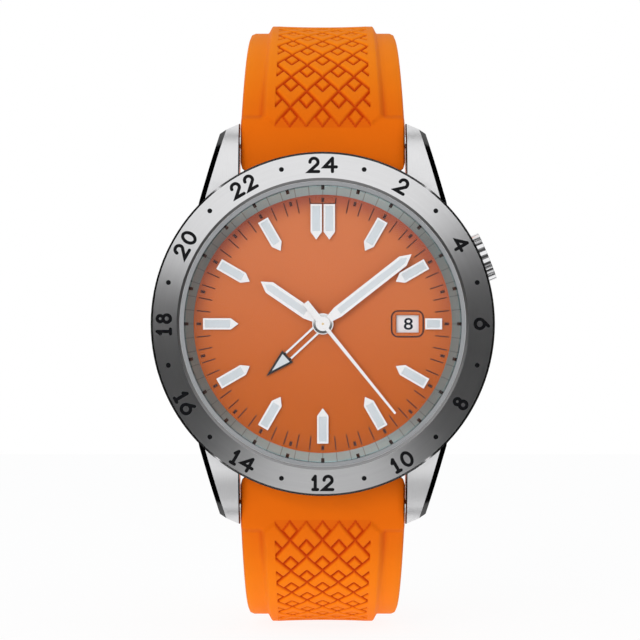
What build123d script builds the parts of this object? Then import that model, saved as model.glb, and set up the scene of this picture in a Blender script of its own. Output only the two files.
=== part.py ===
from build123d import *
import math
import os

os.makedirs("parts", exist_ok=True)

# Wrist watch with a rotating 24 hour bezel, millimetres
# The dial faces -Y, 12 o'clock is +Z and 3 o'clock is +X
# The origin is on the hand axis, at the outer face of the case back
# A height is a distance above that face, towards the person who reads the dial

# Shared running gaps
running_gap = 0.05
overrun = 1.0

# Case radii
bezel_radius = 20.5
bezel_rim_width = 0.25
bezel_face_width = 3.15
bezel_bevel_width = 0.3
bezel_overhang = 0.8
bezel_lip_cover = 0.8
bezel_bore_gap = 0.08
gasket_gap = 0.1
gasket_width = 0.45
dial_bore_width = 0.1
dial_gap = 0.3
movement_ledge_width = 1.55
back_thread_width = 0.9
back_flange_width = 1.05
back_edge_chamfer = 0.4
bezel_face_inner_radius = bezel_radius - bezel_face_width
bezel_lip_radius = bezel_face_inner_radius - bezel_bevel_width
mid_case_radius = bezel_radius - bezel_overhang
rim_outer_radius = bezel_lip_radius + bezel_lip_cover
crystal_gasket_radius = bezel_lip_radius - gasket_gap
crystal_radius = crystal_gasket_radius - gasket_width
dial_bore_radius = crystal_radius + dial_bore_width
dial_radius = dial_bore_radius - dial_gap
movement_bore_radius = dial_bore_radius - movement_ledge_width
back_thread_radius = movement_bore_radius + back_thread_width
back_flange_radius = back_thread_radius + back_flange_width

# Case heights
back_flange_height = 1.0
back_neck_height = 2.4
movement_ledge_height = 2.5
mid_case_corner_height = 2.2
mid_case_corner_width = 1.1
shoulder_height = 8.5
dial_height = 7.2
dial_thickness = 0.4
rehaut_top_height = 9.85
rim_top_height = 11.5
bezel_bottom_height = 8.6
bezel_edge_height = 10.65
bezel_face_outer_height = 10.9
bezel_face_inner_height = 12.2
bezel_lip_height = 12.0
bezel_lip_thickness = 0.4
crystal_edge_height = 12.15
crystal_dome_height = 12.6
crystal_bevel = 0.25
gasket_top_height = 11.9

# Lugs
lug_inner_half_width = 10.0
lug_reach = 4.5
lug_tip_z = mid_case_radius + lug_reach
lug_break_x = 11.5
lug_break_z = lug_tip_z - 0.7
lug_corner_x = 12.4
lug_corner_z = lug_tip_z - 1.3
lug_shoulder_x = 14.8
lug_shoulder_z = lug_tip_z - 9.5
lug_root_x = 15.3
lug_root_z = lug_tip_z - 12.0
lug_inner_z = lug_tip_z - 12.2
lug_top_start_z = lug_tip_z - 7.2
lug_top_middle_z = lug_tip_z - 2.9
lug_top_middle_height = 7.05
lug_tip_height = 3.9
lug_tip_bottom_height = 0.6
lug_outer_bevel = 0.6
lug_inner_bevel = 0.14
flank_lean_share = 0.9

# Spring bars between the lugs
bar_setback = 2.2
bar_z = lug_tip_z - bar_setback
bar_height = 3.5
bar_radius = 0.89
bar_tip_radius = 0.4
bar_tip_length = 1.0

# Bezel scale
numeral_height = 2.0
numeral_stroke = 0.39
numeral_inset = 1.6
numeral_radius = bezel_radius - numeral_inset
numeral_gap = 0.3
numeral_depth = 0.15
numeral_recess = 0.03
dot_radius = 0.29
dot_inset = 1.5
dot_circle_radius = bezel_radius - dot_inset
narrow_digit_width = 0.95
medium_digit_width = 1.5
wide_digit_width = 1.8
bezel_hours = 24
hour_step = 2

# Click spring under the bezel
spring_inset = 1.3
spring_width = 0.9
spring_outer_radius = bezel_radius - spring_inset
spring_inner_radius = spring_outer_radius - spring_width
spring_thickness = 0.25
spring_groove_depth = 0.4
spring_gap_degrees = 12
spring_side_gap = 0.1

# Dial furniture
marker_width = 1.36
marker_inset = 1.95
marker_length = 3.32
marker_point_length = 0.93
marker_outer_radius = dial_radius - marker_inset
marker_shoulder_radius = marker_outer_radius - marker_length
marker_tip_radius = marker_shoulder_radius - marker_point_length
marker_thickness = 0.55
marker_wall = 0.23
marker_lume_length = 3.0
marker_lume_recess = 0.04
twin_marker_offset = 0.784
short_marker_inset = 2.0
short_marker_length = 2.03
short_marker_outer_radius = dial_radius - short_marker_inset
short_marker_inner_radius = short_marker_outer_radius - short_marker_length
short_marker_width = 1.32
short_lume_length = 1.5
short_lume_width = 0.91
date_radius = 10.16
date_window_width = 2.7
date_window_height = 2.1
date_window_bevel = 0.14

# Hands, heights of their lower faces and their outlines from the hub outwards
hand_thickness = 0.2
lume_proud = 0.03
gmt_hand_height = 7.55
hour_hand_height = 8.0
minute_hand_height = 8.45
second_hand_height = 8.9
second_hand_thickness = 0.16
gmt_clock_degrees = 227.2
hour_clock_degrees = 304.3
minute_clock_degrees = 51.9
second_clock_degrees = 141.0
hub_radius = 1.27
minute_hub_radius = 1.0
hand_neck_width = 0.8
hand_neck_start = 0.8
hand_neck_end = 2.3
minute_hand_length = 13.5
minute_hand_width = 1.4
minute_hand_point = 1.31
minute_lume_width = 0.75
hour_hand_length = 9.0
hour_hand_width = 1.53
hour_hand_point = 1.26
hour_lume_width = 0.83
lume_start = 2.45
lume_point_gap = 0.65
second_hand_length = 13.8
second_hand_root_width = 0.46
second_hand_tip_width = 0.26
second_tail_length = 3.28
second_tail_width = 0.8
second_boss_radius = 0.86
gmt_rail_width = 0.25
gmt_rail_spacing = 0.88
gmt_rail_end = 5.9
gmt_arrow_base = 5.73
gmt_arrow_width = 1.94
gmt_arrow_tip = 9.27
gmt_arrow_wall = 0.26

# Pipes that stack on the hand axis
second_arbor_radius = 0.13
cannon_bore_radius = 0.19
cannon_radius = 0.45
hour_pipe_bore_radius = 0.5
hour_pipe_radius = 0.75
gmt_pipe_bore_radius = 0.8
gmt_pipe_radius = 1.05
dial_hole_radius = 1.15

# Movement, heights of its layers
movement_radius = 12.8
plate_bottom_height = 4.7
plate_top_height = 6.2
motion_floor_height = 5.25
bridge_bottom_height = 3.4
bridge_top_height = 2.6
train_gap = 0.1
movement_ring_gap = 0.05
movement_ring_bottom = 2.55
date_disc_bottom = 6.3
date_disc_thickness = 0.25
date_disc_inner_radius = 8.75
date_disc_outer_radius = 12.3
date_disc_tooth_depth = 0.2
date_teeth = 31
wheel_thickness = 0.2
arbor_radius = 0.15
pivot_bore_radius = 0.19
post_radius = 0.3

# Motion work
cannon_teeth = 12
minute_wheel_teeth = 36
minute_pinion_teeth = 10
hour_wheel_teeth = 40
gmt_drive_teeth = 40
gmt_pinion_teeth = 20
gmt_wheel_teeth = 40
motion_distance = 3.75
gmt_distance = 6.0
minute_wheel_bearing = -60
gmt_bearing = 120
motion_wheel_height = 5.35
hour_wheel_height = 5.8
gmt_wheel_height = 6.28
gmt_wheel_thickness = 0.25
tooth_tip_share = 0.8
tooth_root_share = 1.15
tooth_tip_width_share = 0.2
tooth_root_width_share = 0.52

# Going train
train_clock_degrees = -15
barrel_teeth = 86
third_pinion_teeth = 9
third_wheel_teeth = 55
second_pinion_teeth = 8
second_wheel_teeth = 70
escape_pinion_teeth = 10
barrel_module = 0.1
third_distance = 3.0
barrel_tooth_height = 4.35
barrel_drum_height = 3.85
barrel_drum_share = 0.9
barrel_wall = 0.25
third_wheel_height = 3.55
second_wheel_height = 4.35
escape_distance = 2.95
escape_wheel_height = 4.0
escape_wheel_radius = 2.0
escape_teeth = 20
escape_tooth_depth = 0.45
fork_distance = 2.6
fork_height = 3.75
fork_arm_width = 0.35
fork_arm_length = 1.25
fork_tail_length = 1.7
fork_stone_size = 0.3
balance_distance = 7.9
balance_radius = 4.2
balance_rim_width = 0.45
balance_height = 3.1
balance_thickness = 0.27
balance_arm_width = 0.4
balance_clearance_radius = 4.5
cock_thickness = 0.25
cock_foot_x = 6.4
cock_foot_y = -8.9
cock_radius = 1.2
pallet_cock_height = 3.42
pallet_cock_thickness = 0.22
pallet_foot_x = 4.3
pallet_foot_rise = 0.6
hairspring_height = 2.9
hairspring_thickness = 0.12
hairspring_strip = 0.08
hairspring_pitch = 0.6
hairspring_turns = 4
hairspring_inner_radius = 0.6
bridge_split = 4.05
bridge_gap = 0.1
bridge_lower_edge = -4.8
bridge_radius = 12.4
bridge_post_radius = 1.1
barrel_post_x = 7.6
barrel_post_y = 6.6
train_post_x = 9.0
train_post_y = -2.4
screw_head_radius = 0.6
screw_head_height = 0.22
screw_shank_radius = 0.3
screw_slot_width = 0.15
screw_slot_depth = 0.1
jewel_radius = 0.5
jewel_thickness = 0.3

# Winding rotor
rotor_bearing_radius = 1.6
rotor_bearing_bottom = 1.35
rotor_web_height = 1.55
rotor_web_thickness = 0.25
rotor_rim_height = 1.25
rotor_rim_thickness = 1.0
rotor_rim_inner_radius = 10.4
rotor_outer_radius = 12.2
back_recess_radius = 15.1

# Crown and keyless work
crown_degrees = 22.5
crown_height = 5.0
crown_radius = 3.0
crown_inset = 0.4
crown_start = mid_case_radius - crown_inset
crown_flute_end = crown_start + 2.15
crown_end = crown_start + 2.8
crown_flutes = 20
crown_flute_radius = 0.27
crown_flute_centre = crown_radius + 0.08
crown_pocket_radius = crown_radius + 0.2
crown_pocket_start = crown_start - 0.15
crown_travel = 1.2
tube_radius = 1.2
tube_bore_radius = 0.55
tube_start = crown_start - 2.6
tube_end = crown_start + 1.3
crown_cavity_radius = tube_radius + running_gap
crown_cavity_end = crown_start + 1.6
crown_gasket_radius = 1.55
crown_gasket_start = crown_start + 0.3
crown_gasket_width = 0.5
stem_radius = 0.45
stem_start = 6.9
stem_end = crown_start + 2.1
stem_slot_half_width = 0.55
groove_radius = 0.25
groove_gap = 0.06
clutch_radius = 0.8
clutch_start = 7.2
clutch_length = 1.6
clutch_pocket_half_width = 0.95
retainer_distance = 10.55
retainer_thickness = 0.3
retainer_height = 5.65
retainer_recess_height = 5.58
retainer_reach = 2.4
retainer_width = 0.9
retainer_tab_width = 0.36
retainer_tab_drop = 0.3
retainer_pocket_radius = 3.35

# Strap, the path of its outer face from the lug tip to its end
strap_start_setback = 0.14
strap_start_z = lug_tip_z - strap_start_setback
strap_start_depth = -5.2
strap_start_degrees = 15
strap_half_width = 9.9
strap_end_gap = 0.6
strap_end_radius = mid_case_radius + strap_end_gap
strap_end_corner = 1.1
strap_block_thickness = 4.3
strap_bore_radius = 0.94
crest_length = 2.45
crest_turn = 22
shoulder_turn = 53
shoulder_arc_radius = 28.5
upper_arc_radius = 20.0
upper_straight = 19.0
lower_arc_radius = 33.0
lower_straight = 29.0
back_turn = 90
panel_step = 0.9
step_length = 1.3
first_step_share = 0.05
root_thickness = 4.1
middle_thickness = 3.3
end_thickness = 3.0
panel_base_root = 7.65
panel_base_end = 6.3
panel_top_root = 6.1
panel_top_end = 5.2
middle_half_width = 9.2
end_half_width = 8.0
arc_station_degrees = 7.5
strap_hole_count = 7
strap_hole_pitch = 6.0
strap_hole_first = 12.0
strap_hole_width = 1.7
strap_hole_length = 3.0
tip_round_radius = 7.0

# Buckle and keepers
buckle_bar_radius = 0.75
buckle_bore_radius = 0.8
tang_slot_width = 2.9
tang_slot_depth = 3.2
frame_inner_half_width = 8.7
frame_outer_half_width = 10.7
frame_length = 14.0
frame_cross_width = 2.4
frame_thickness = 2.2
frame_back_reach = 1.5
frame_corner_radius = 1.8
tang_width = 2.3
tang_ring_radius = 1.35
tang_thickness = 0.85
tang_rise = 0.05
tang_overhang = 0.6
keeper_wall = 1.1
keeper_length = 4.0
keeper_side_gap = 0.5
keeper_tail_space = 3.3
free_keeper_gap = 0.3
fixed_keeper_start = 3.6
free_keeper_start = 10.4


def face_plane(height, clock_degrees=0):
    """Plane parallel to the dial whose +Y points at a clock angle and whose +Z leaves the dial."""
    angle = math.radians(clock_degrees)
    return Plane(
        origin=(0, -height, 0),
        x_dir=(math.cos(angle), 0, -math.sin(angle)),
        z_dir=(0, -1, 0),
    )


def around(radius, degrees):
    """Point at a radius and an angle, counted anticlockwise from +X."""
    angle = math.radians(degrees)
    return (radius * math.cos(angle), radius * math.sin(angle))


# Half section through the hand axis: local X is the radius and local Y the height
section_plane = Plane(origin=(0, 0, 0), x_dir=(1, 0, 0), z_dir=(0, 0, -1))

crown_direction = Vector(
    math.cos(math.radians(crown_degrees)), 0, math.sin(math.radians(crown_degrees))
)


def crown_plane(distance):
    """Plane across the crown's axis at a distance from the hand axis."""
    origin = crown_direction * distance + Vector(0, -crown_height, 0)
    return Plane(origin=origin, x_dir=(0, -1, 0), z_dir=crown_direction)


def stem_plan(height):
    """Plane parallel to the dial whose +X runs outwards along the stem."""
    return face_plane(height, -crown_degrees)


def tooth_module(distance, teeth, mate_teeth):
    """Module of two gears that mesh at a centre distance."""
    return 2 * distance / (teeth + mate_teeth)


def mate_phase(phase, teeth, bearing, mate_teeth):
    """Tooth angle of the gear that lies at a bearing from another gear and meshes with it."""
    shift = 1 / 2 - (phase - bearing) * teeth / 360
    return bearing + 180 + shift * 360 / mate_teeth


def gear(teeth, module, phase=0):
    """Toothed disc on the origin with one tooth centred on the phase angle."""
    pitch_radius = module * teeth / 2
    tip_radius = pitch_radius + module * tooth_tip_share
    root_radius = pitch_radius - module * tooth_root_share
    step = 360 / teeth
    corners = []
    for index in range(teeth):
        centre = phase + index * step
        corners.append(around(root_radius, centre - step * tooth_root_width_share / 2))
        corners.append(around(tip_radius, centre - step * tooth_tip_width_share / 2))
        corners.append(around(tip_radius, centre + step * tooth_tip_width_share / 2))
        corners.append(around(root_radius, centre + step * tooth_root_width_share / 2))
    with BuildSketch() as outline:
        with BuildLine():
            Polyline(*corners, close=True)
        make_face()
    return outline.sketch


def finish(builder, label):
    """Name a finished piece and write its file."""
    builder.part.label = label
    export_step(builder.part, f"parts/{label}.step")


# Case back
with BuildPart() as case_back:
    with BuildSketch(section_plane):
        with BuildLine():
            Polyline(
                (0, 0),
                (back_flange_radius - back_edge_chamfer, 0),
                (back_flange_radius, back_edge_chamfer),
                (back_flange_radius, back_flange_height),
                (back_thread_radius, back_flange_height),
                (back_thread_radius, back_neck_height),
                (back_recess_radius, back_neck_height),
                (back_recess_radius, back_flange_height),
                (0, back_flange_height),
                close=True,
            )
        make_face()
    revolve(axis=Axis.Y)
    wrench_notches = 6
    notch_radius = 1.3
    notch_depth = 0.45
    with BuildSketch(face_plane(0)):
        with PolarLocations(back_flange_radius, wrench_notches):
            Circle(notch_radius)
    extrude(amount=notch_depth, mode=Mode.SUBTRACT)
finish(case_back, "case_back")

# Mid case with its four lugs
lug_corners = [
    (lug_inner_half_width, lug_inner_z),
    (lug_inner_half_width, lug_tip_z),
    (lug_break_x, lug_break_z),
    (lug_corner_x, lug_corner_z),
    (lug_shoulder_x, lug_shoulder_z),
    (lug_root_x, lug_root_z),
]
lug_top_start = (lug_top_start_z, shoulder_height)
lug_top_middle = (lug_top_middle_z, lug_top_middle_height)
lug_top_end = (lug_tip_z, lug_tip_height)
side_plane = Plane(origin=(0, 0, 0), x_dir=(0, 0, 1), z_dir=(1, 0, 0))
gasket_groove_inner = 16.1
gasket_groove_outer = 16.8
gasket_groove_depth = 0.35

with BuildPart() as lug_block:
    with BuildSketch(face_plane(0)):
        with BuildLine():
            Polyline(*lug_corners, close=True)
        make_face()
    extrude(amount=shoulder_height)
    with BuildSketch(side_plane):
        with BuildLine():
            ThreePointArc(
                (lug_top_start[0], lug_top_start[1]),
                (lug_top_middle[0], lug_top_middle[1]),
                (lug_top_end[0], lug_top_end[1]),
            )
            Polyline(
                lug_top_end,
                (lug_tip_z, lug_tip_bottom_height),
                (lug_top_start_z, back_flange_height),
                (lug_inner_z, back_flange_height),
                (lug_inner_z, shoulder_height),
                lug_top_start,
            )
        make_face()
    extrude(amount=lug_root_x + overrun, mode=Mode.INTERSECT)
    inner_top = lug_block.edges().filter_by(GeomType.CIRCLE).sort_by(Axis.X)[0]
    chamfer(inner_top, lug_inner_bevel)
    flanks = lug_block.faces().filter_by(lambda face: face.normal_at().X > flank_lean_share)
    outer_top = flanks.edges().filter_by(
        lambda edge: -edge.center().Y > lug_top_middle_height
    )
    chamfer(outer_top, lug_outer_bevel)

with BuildPart() as mid_case:
    add(lug_block.part)
    mirror(about=Plane.YZ)
    mirror(about=Plane.XY)
    with BuildSketch(section_plane):
        with BuildLine():
            Polyline(
                (0, back_flange_height),
                (mid_case_radius - mid_case_corner_width, back_flange_height),
                (mid_case_radius, mid_case_corner_height),
                (mid_case_radius, shoulder_height),
                (rim_outer_radius, shoulder_height),
                (rim_outer_radius, rim_top_height),
                (0, rim_top_height),
                close=True,
            )
        make_face()
    revolve(axis=Axis.Y)
    with BuildSketch(section_plane):
        with BuildLine():
            Polyline(
                (0, 0),
                (back_thread_radius, 0),
                (back_thread_radius, movement_ledge_height),
                (movement_bore_radius, movement_ledge_height),
                (movement_bore_radius, dial_height - dial_thickness),
                (dial_bore_radius, dial_height - dial_thickness),
                (dial_bore_radius, rehaut_top_height),
                (crystal_gasket_radius, rehaut_top_height),
                (crystal_gasket_radius, rim_top_height + overrun),
                (0, rim_top_height + overrun),
                close=True,
            )
        make_face()
    revolve(axis=Axis.Y, mode=Mode.SUBTRACT)
    with BuildSketch(face_plane(shoulder_height)):
        Circle(spring_outer_radius + spring_side_gap)
        Circle(spring_inner_radius - spring_side_gap, mode=Mode.SUBTRACT)
    extrude(amount=-spring_groove_depth, mode=Mode.SUBTRACT)
    with BuildSketch(face_plane(back_flange_height)):
        Circle(gasket_groove_outer)
        Circle(gasket_groove_inner, mode=Mode.SUBTRACT)
    extrude(amount=gasket_groove_depth, mode=Mode.SUBTRACT)
    with BuildSketch(crown_plane(crown_pocket_start)):
        Circle(crown_pocket_radius)
    extrude(amount=crown_radius, mode=Mode.SUBTRACT)
    with BuildSketch(crown_plane(movement_bore_radius - overrun)):
        Circle(tube_radius)
    extrude(amount=crown_radius * 2, mode=Mode.SUBTRACT)
    with BuildSketch(side_plane.offset(-lug_inner_half_width - bar_tip_length)):
        with Locations((bar_z, bar_height), (-bar_z, bar_height)):
            Circle(bar_tip_radius)
    extrude(amount=2 * (lug_inner_half_width + bar_tip_length), mode=Mode.SUBTRACT)
finish(mid_case, "mid_case")

with BuildPart() as case_back_gasket:
    with BuildSketch(face_plane(back_flange_height)):
        Circle(gasket_groove_outer)
        Circle(gasket_groove_inner, mode=Mode.SUBTRACT)
    extrude(amount=gasket_groove_depth)
finish(case_back_gasket, "case_back_gasket")

with BuildPart() as lug_spring_bars:
    with BuildSketch(side_plane.offset(-lug_inner_half_width)):
        with Locations((bar_z, bar_height), (-bar_z, bar_height)):
            Circle(bar_radius)
    extrude(amount=2 * lug_inner_half_width)
    with BuildSketch(side_plane.offset(-lug_inner_half_width - bar_tip_length)):
        with Locations((bar_z, bar_height), (-bar_z, bar_height)):
            Circle(bar_tip_radius)
    extrude(amount=2 * (lug_inner_half_width + bar_tip_length))
finish(lug_spring_bars, "lug_spring_bars")

# Crystal, its gasket and the sloping ring between crystal and dial
with BuildPart() as crystal:
    with BuildSketch(section_plane):
        with BuildLine():
            Polyline(
                (0, crystal_dome_height),
                (0, rehaut_top_height),
                (crystal_radius, rehaut_top_height),
                (crystal_radius, crystal_edge_height - crystal_bevel),
                (crystal_radius - crystal_bevel, crystal_edge_height),
            )
            TangentArc(
                (0, crystal_dome_height),
                (crystal_radius - crystal_bevel, crystal_edge_height),
                tangent=(1, 0),
            )
        make_face()
    revolve(axis=Axis.Y)
finish(crystal, "crystal")

with BuildPart() as crystal_gasket:
    with BuildSketch(face_plane(rehaut_top_height)):
        Circle(crystal_gasket_radius)
        Circle(crystal_radius, mode=Mode.SUBTRACT)
    extrude(amount=gasket_top_height - rehaut_top_height)
finish(crystal_gasket, "crystal_gasket")

rehaut_foot_width = 0.8
rehaut_top_gap = 0.08
rehaut_inner_radius = dial_radius - rehaut_foot_width
rehaut_top_radius = crystal_radius - rehaut_top_gap
with BuildPart() as rehaut:
    with BuildSketch(section_plane):
        with BuildLine():
            Polyline(
                (rehaut_inner_radius, dial_height),
                (dial_bore_radius, dial_height),
                (dial_bore_radius, rehaut_top_height),
                (rehaut_top_radius, rehaut_top_height),
                close=True,
            )
        make_face()
    revolve(axis=Axis.Y)
finish(rehaut, "rehaut")

# Rotating bezel and its click spring
with BuildPart() as bezel_spring:
    with BuildSketch(face_plane(shoulder_height - spring_groove_depth)):
        Circle(spring_outer_radius)
        Circle(spring_inner_radius, mode=Mode.SUBTRACT)
        with BuildLine():
            Polyline(
                (0, 0),
                around(spring_outer_radius + overrun, -spring_gap_degrees / 2),
                around(spring_outer_radius + overrun, spring_gap_degrees / 2),
                close=True,
            )
        make_face(mode=Mode.SUBTRACT)
    extrude(amount=spring_thickness)
finish(bezel_spring, "bezel_spring")

bezel_bore_radius = rim_outer_radius + bezel_bore_gap
face_outer_radius = bezel_radius - bezel_rim_width
glyph_half_height = (numeral_height - numeral_stroke) / 2
zero_half_width = (medium_digit_width - numeral_stroke) / 2
eight_upper_radius = 0.36
eight_lower_radius = glyph_half_height - eight_upper_radius
two_bow_share = 0.86
four_stem_share = 0.35
four_bar_share = 0.3
six_tail_share = 0.45


def stroke(*points):
    """Drawn line of the numerals' stroke width with round ends, added to the open sketch."""
    with BuildLine() as path:
        Polyline(*points)
    trace(path.line, line_width=numeral_stroke)
    with Locations(*points):
        Circle(numeral_stroke / 2)


def loop(radius, middle):
    """Ring of the numerals' stroke width, added to the open sketch."""
    with Locations((0, middle)):
        Circle(radius + numeral_stroke / 2)
        Circle(radius - numeral_stroke / 2, mode=Mode.SUBTRACT)


def digit_zero():
    with BuildSketch() as glyph:
        Ellipse(zero_half_width + numeral_stroke / 2, numeral_height / 2)
        Ellipse(
            zero_half_width - numeral_stroke / 2,
            numeral_height / 2 - numeral_stroke,
            mode=Mode.SUBTRACT,
        )
    return glyph.sketch


def digit_one():
    foot = (narrow_digit_width - numeral_stroke) / 2
    flag_drop = glyph_half_height / 2
    with BuildSketch() as glyph:
        stroke((0, -glyph_half_height), (0, glyph_half_height))
        stroke((-foot, -glyph_half_height), (foot, -glyph_half_height))
        stroke((-foot, glyph_half_height - flag_drop), (0, glyph_half_height))
    return glyph.sketch


def digit_two():
    half = (medium_digit_width - numeral_stroke) / 2
    bow_radius = half * two_bow_share
    bow_middle = glyph_half_height - bow_radius
    start = (-bow_radius, bow_middle)
    end = (bow_radius * math.cos(math.pi / 6), bow_middle - bow_radius * math.sin(math.pi / 6))
    with BuildSketch() as glyph:
        with BuildLine() as bow:
            ThreePointArc(start, (bow_radius * math.sin(math.pi / 4),
                                  bow_middle + bow_radius * math.sin(math.pi / 4)), end)
        trace(bow.line, line_width=numeral_stroke)
        with Locations(start, end):
            Circle(numeral_stroke / 2)
        stroke(end, (-half, -glyph_half_height), (half, -glyph_half_height))
    return glyph.sketch


def digit_four():
    half = (wide_digit_width - numeral_stroke) / 2
    stem_x = half * four_stem_share
    bar_y = -glyph_half_height * four_bar_share
    with BuildSketch() as glyph:
        stroke((stem_x, glyph_half_height), (-half, bar_y), (half, bar_y))
        stroke((stem_x, glyph_half_height), (stem_x, -glyph_half_height))
    return glyph.sketch


def digit_six():
    ring_radius = (medium_digit_width - numeral_stroke) / 2
    ring_middle = ring_radius - glyph_half_height
    tangent = math.radians(150)
    tail_start = (ring_radius * math.cos(tangent), ring_middle + ring_radius * math.sin(tangent))
    tail_end = (ring_radius * six_tail_share, glyph_half_height)
    with BuildSketch() as glyph:
        loop(ring_radius, ring_middle)
        stroke(tail_start, tail_end)
    return glyph.sketch


def digit_eight():
    with BuildSketch() as glyph:
        loop(eight_lower_radius, eight_lower_radius - glyph_half_height)
        loop(eight_upper_radius, glyph_half_height - eight_upper_radius)
    return glyph.sketch


digit_makers = {
    "0": (digit_zero, medium_digit_width),
    "1": (digit_one, narrow_digit_width),
    "2": (digit_two, medium_digit_width),
    "4": (digit_four, wide_digit_width),
    "6": (digit_six, medium_digit_width),
    "8": (digit_eight, medium_digit_width),
}
glyphs = {name: maker() for name, (maker, width) in digit_makers.items()}
first_inverted_hour = 8
last_inverted_hour = 16


def number_places(text, hour):
    """Digit, place and turn for each digit of a number on the bezel."""
    widths = [digit_makers[character][1] for character in text]
    total = sum(widths) + numeral_gap * (len(widths) - 1)
    inverted = first_inverted_hour <= hour <= last_inverted_hour
    clock = hour * 360 / bezel_hours
    left = -total / 2
    places = []
    for character, width in zip(text, widths):
        offset = left + width / 2
        left += width + numeral_gap
        angle = math.radians(clock)
        side = -offset if inverted else offset
        x = numeral_radius * math.sin(angle) + side * math.cos(angle)
        y = numeral_radius * math.cos(angle) - side * math.sin(angle)
        turn = -clock + (180 if inverted else 0)
        places.append((character, x, y, turn))
    return places


with BuildPart() as bezel_numerals:
    with BuildSketch(face_plane(bezel_bottom_height)):
        for hour in range(hour_step, bezel_hours + 1, hour_step):
            for character, x, y, turn in number_places(str(hour), hour):
                with Locations(Location((x, y, 0), turn)):
                    add(glyphs[character])
        with PolarLocations(dot_circle_radius, bezel_hours // hour_step,
                            start_angle=360 / bezel_hours):
            Circle(dot_radius)
    extrude(amount=bezel_face_inner_height)
    with BuildSketch(section_plane):
        with BuildLine():
            inner_top = bezel_face_inner_height - numeral_recess
            outer_top = bezel_face_outer_height - numeral_recess
            Polyline(
                (bezel_face_inner_radius, inner_top),
                (face_outer_radius, outer_top),
                (face_outer_radius, outer_top - numeral_depth),
                (bezel_face_inner_radius, inner_top - numeral_depth),
                close=True,
            )
        make_face()
    revolve(axis=Axis.Y, mode=Mode.INTERSECT)
finish(bezel_numerals, "bezel_numerals")

with BuildPart() as numeral_pockets:
    with BuildSketch(face_plane(bezel_bottom_height)):
        for hour in range(hour_step, bezel_hours + 1, hour_step):
            for character, x, y, turn in number_places(str(hour), hour):
                with Locations(Location((x, y, 0), turn)):
                    add(glyphs[character])
        with PolarLocations(dot_circle_radius, bezel_hours // hour_step,
                            start_angle=360 / bezel_hours):
            Circle(dot_radius)
    extrude(amount=bezel_face_inner_height)
    with BuildSketch(section_plane):
        with BuildLine():
            floor_drop = numeral_recess + numeral_depth
            Polyline(
                (bezel_face_inner_radius, bezel_face_inner_height + overrun),
                (face_outer_radius, bezel_face_outer_height + overrun),
                (face_outer_radius, bezel_face_outer_height - floor_drop),
                (bezel_face_inner_radius, bezel_face_inner_height - floor_drop),
                close=True,
            )
        make_face()
    revolve(axis=Axis.Y, mode=Mode.INTERSECT)

with BuildPart() as bezel:
    with BuildSketch(section_plane):
        with BuildLine():
            Polyline(
                (bezel_bore_radius, bezel_bottom_height),
                (bezel_radius, bezel_bottom_height),
                (bezel_radius, bezel_edge_height),
                (face_outer_radius, bezel_face_outer_height),
                (bezel_face_inner_radius, bezel_face_inner_height),
                (bezel_lip_radius, bezel_lip_height),
                (bezel_lip_radius, bezel_lip_height - bezel_lip_thickness),
                (bezel_bore_radius, bezel_lip_height - bezel_lip_thickness),
                close=True,
            )
        make_face()
    revolve(axis=Axis.Y)
    add(numeral_pockets.part, mode=Mode.SUBTRACT)
finish(bezel, "bezel")

# Dial, its markers and the date window
with BuildPart() as dial:
    with BuildSketch(face_plane(dial_height - dial_thickness)):
        Circle(dial_radius)
        Circle(dial_hole_radius, mode=Mode.SUBTRACT)
        with Locations((date_radius, 0)):
            Rectangle(date_window_width, date_window_height, mode=Mode.SUBTRACT)
    extrude(amount=dial_thickness)
    top_face = dial.faces().sort_by(Axis.Y)[0]
    window_edges = top_face.inner_wires().sort_by(Axis.X)[-1].edges()
    chamfer(window_edges, date_window_bevel)
finish(dial, "dial")


def marker_outline(outer, shoulder, tip, width):
    """Outline of a pointed marker below 12 o'clock, pointing at the centre."""
    return [
        (-width / 2, outer),
        (width / 2, outer),
        (width / 2, shoulder),
        (0, tip),
        (-width / 2, shoulder),
    ]


pointed_hours = [1, 2, 4, 5, 6, 7, 8, 9, 10, 11]
marker_slots = [(hour * 30, 0) for hour in pointed_hours]
marker_slots += [(0, -twin_marker_offset), (0, twin_marker_offset)]
lume_outer_radius = marker_outer_radius - marker_wall
lume_inner_radius = lume_outer_radius - marker_lume_length
lume_width = marker_width - 2 * marker_wall
short_marker_middle = (short_marker_inner_radius + short_marker_outer_radius) / 2


def slot_location(clock_degrees, offset):
    """Turn of a sketch that was drawn at 12 o'clock, moved sideways by an offset."""
    return Location((0, 0, 0), -clock_degrees) * Location((offset, 0, 0))


with BuildSketch() as marker_shape:
    with BuildLine():
        Polyline(
            *marker_outline(
                marker_outer_radius, marker_shoulder_radius, marker_tip_radius, marker_width
            ),
            close=True,
        )
    make_face()
with BuildSketch() as marker_lume_shape:
    with Locations((0, (lume_outer_radius + lume_inner_radius) / 2)):
        Rectangle(lume_width, marker_lume_length)

with BuildPart() as hour_marker_lume:
    with BuildSketch(face_plane(dial_height)):
        for clock, offset in marker_slots:
            with Locations(slot_location(clock, offset)):
                add(marker_lume_shape.sketch)
        with Locations((short_marker_middle, 0)):
            Rectangle(short_lume_length, short_lume_width)
    extrude(amount=marker_thickness - marker_lume_recess)
finish(hour_marker_lume, "hour_marker_lume")

with BuildPart() as hour_markers:
    with BuildSketch(face_plane(dial_height)):
        for clock, offset in marker_slots:
            with Locations(slot_location(clock, offset)):
                add(marker_shape.sketch)
                add(marker_lume_shape.sketch, mode=Mode.SUBTRACT)
        with Locations((short_marker_middle, 0)):
            Rectangle(short_marker_length, short_marker_width)
            Rectangle(short_lume_length, short_lume_width, mode=Mode.SUBTRACT)
    extrude(amount=marker_thickness)
finish(hour_markers, "hour_markers")

# Hands with their lume


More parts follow.
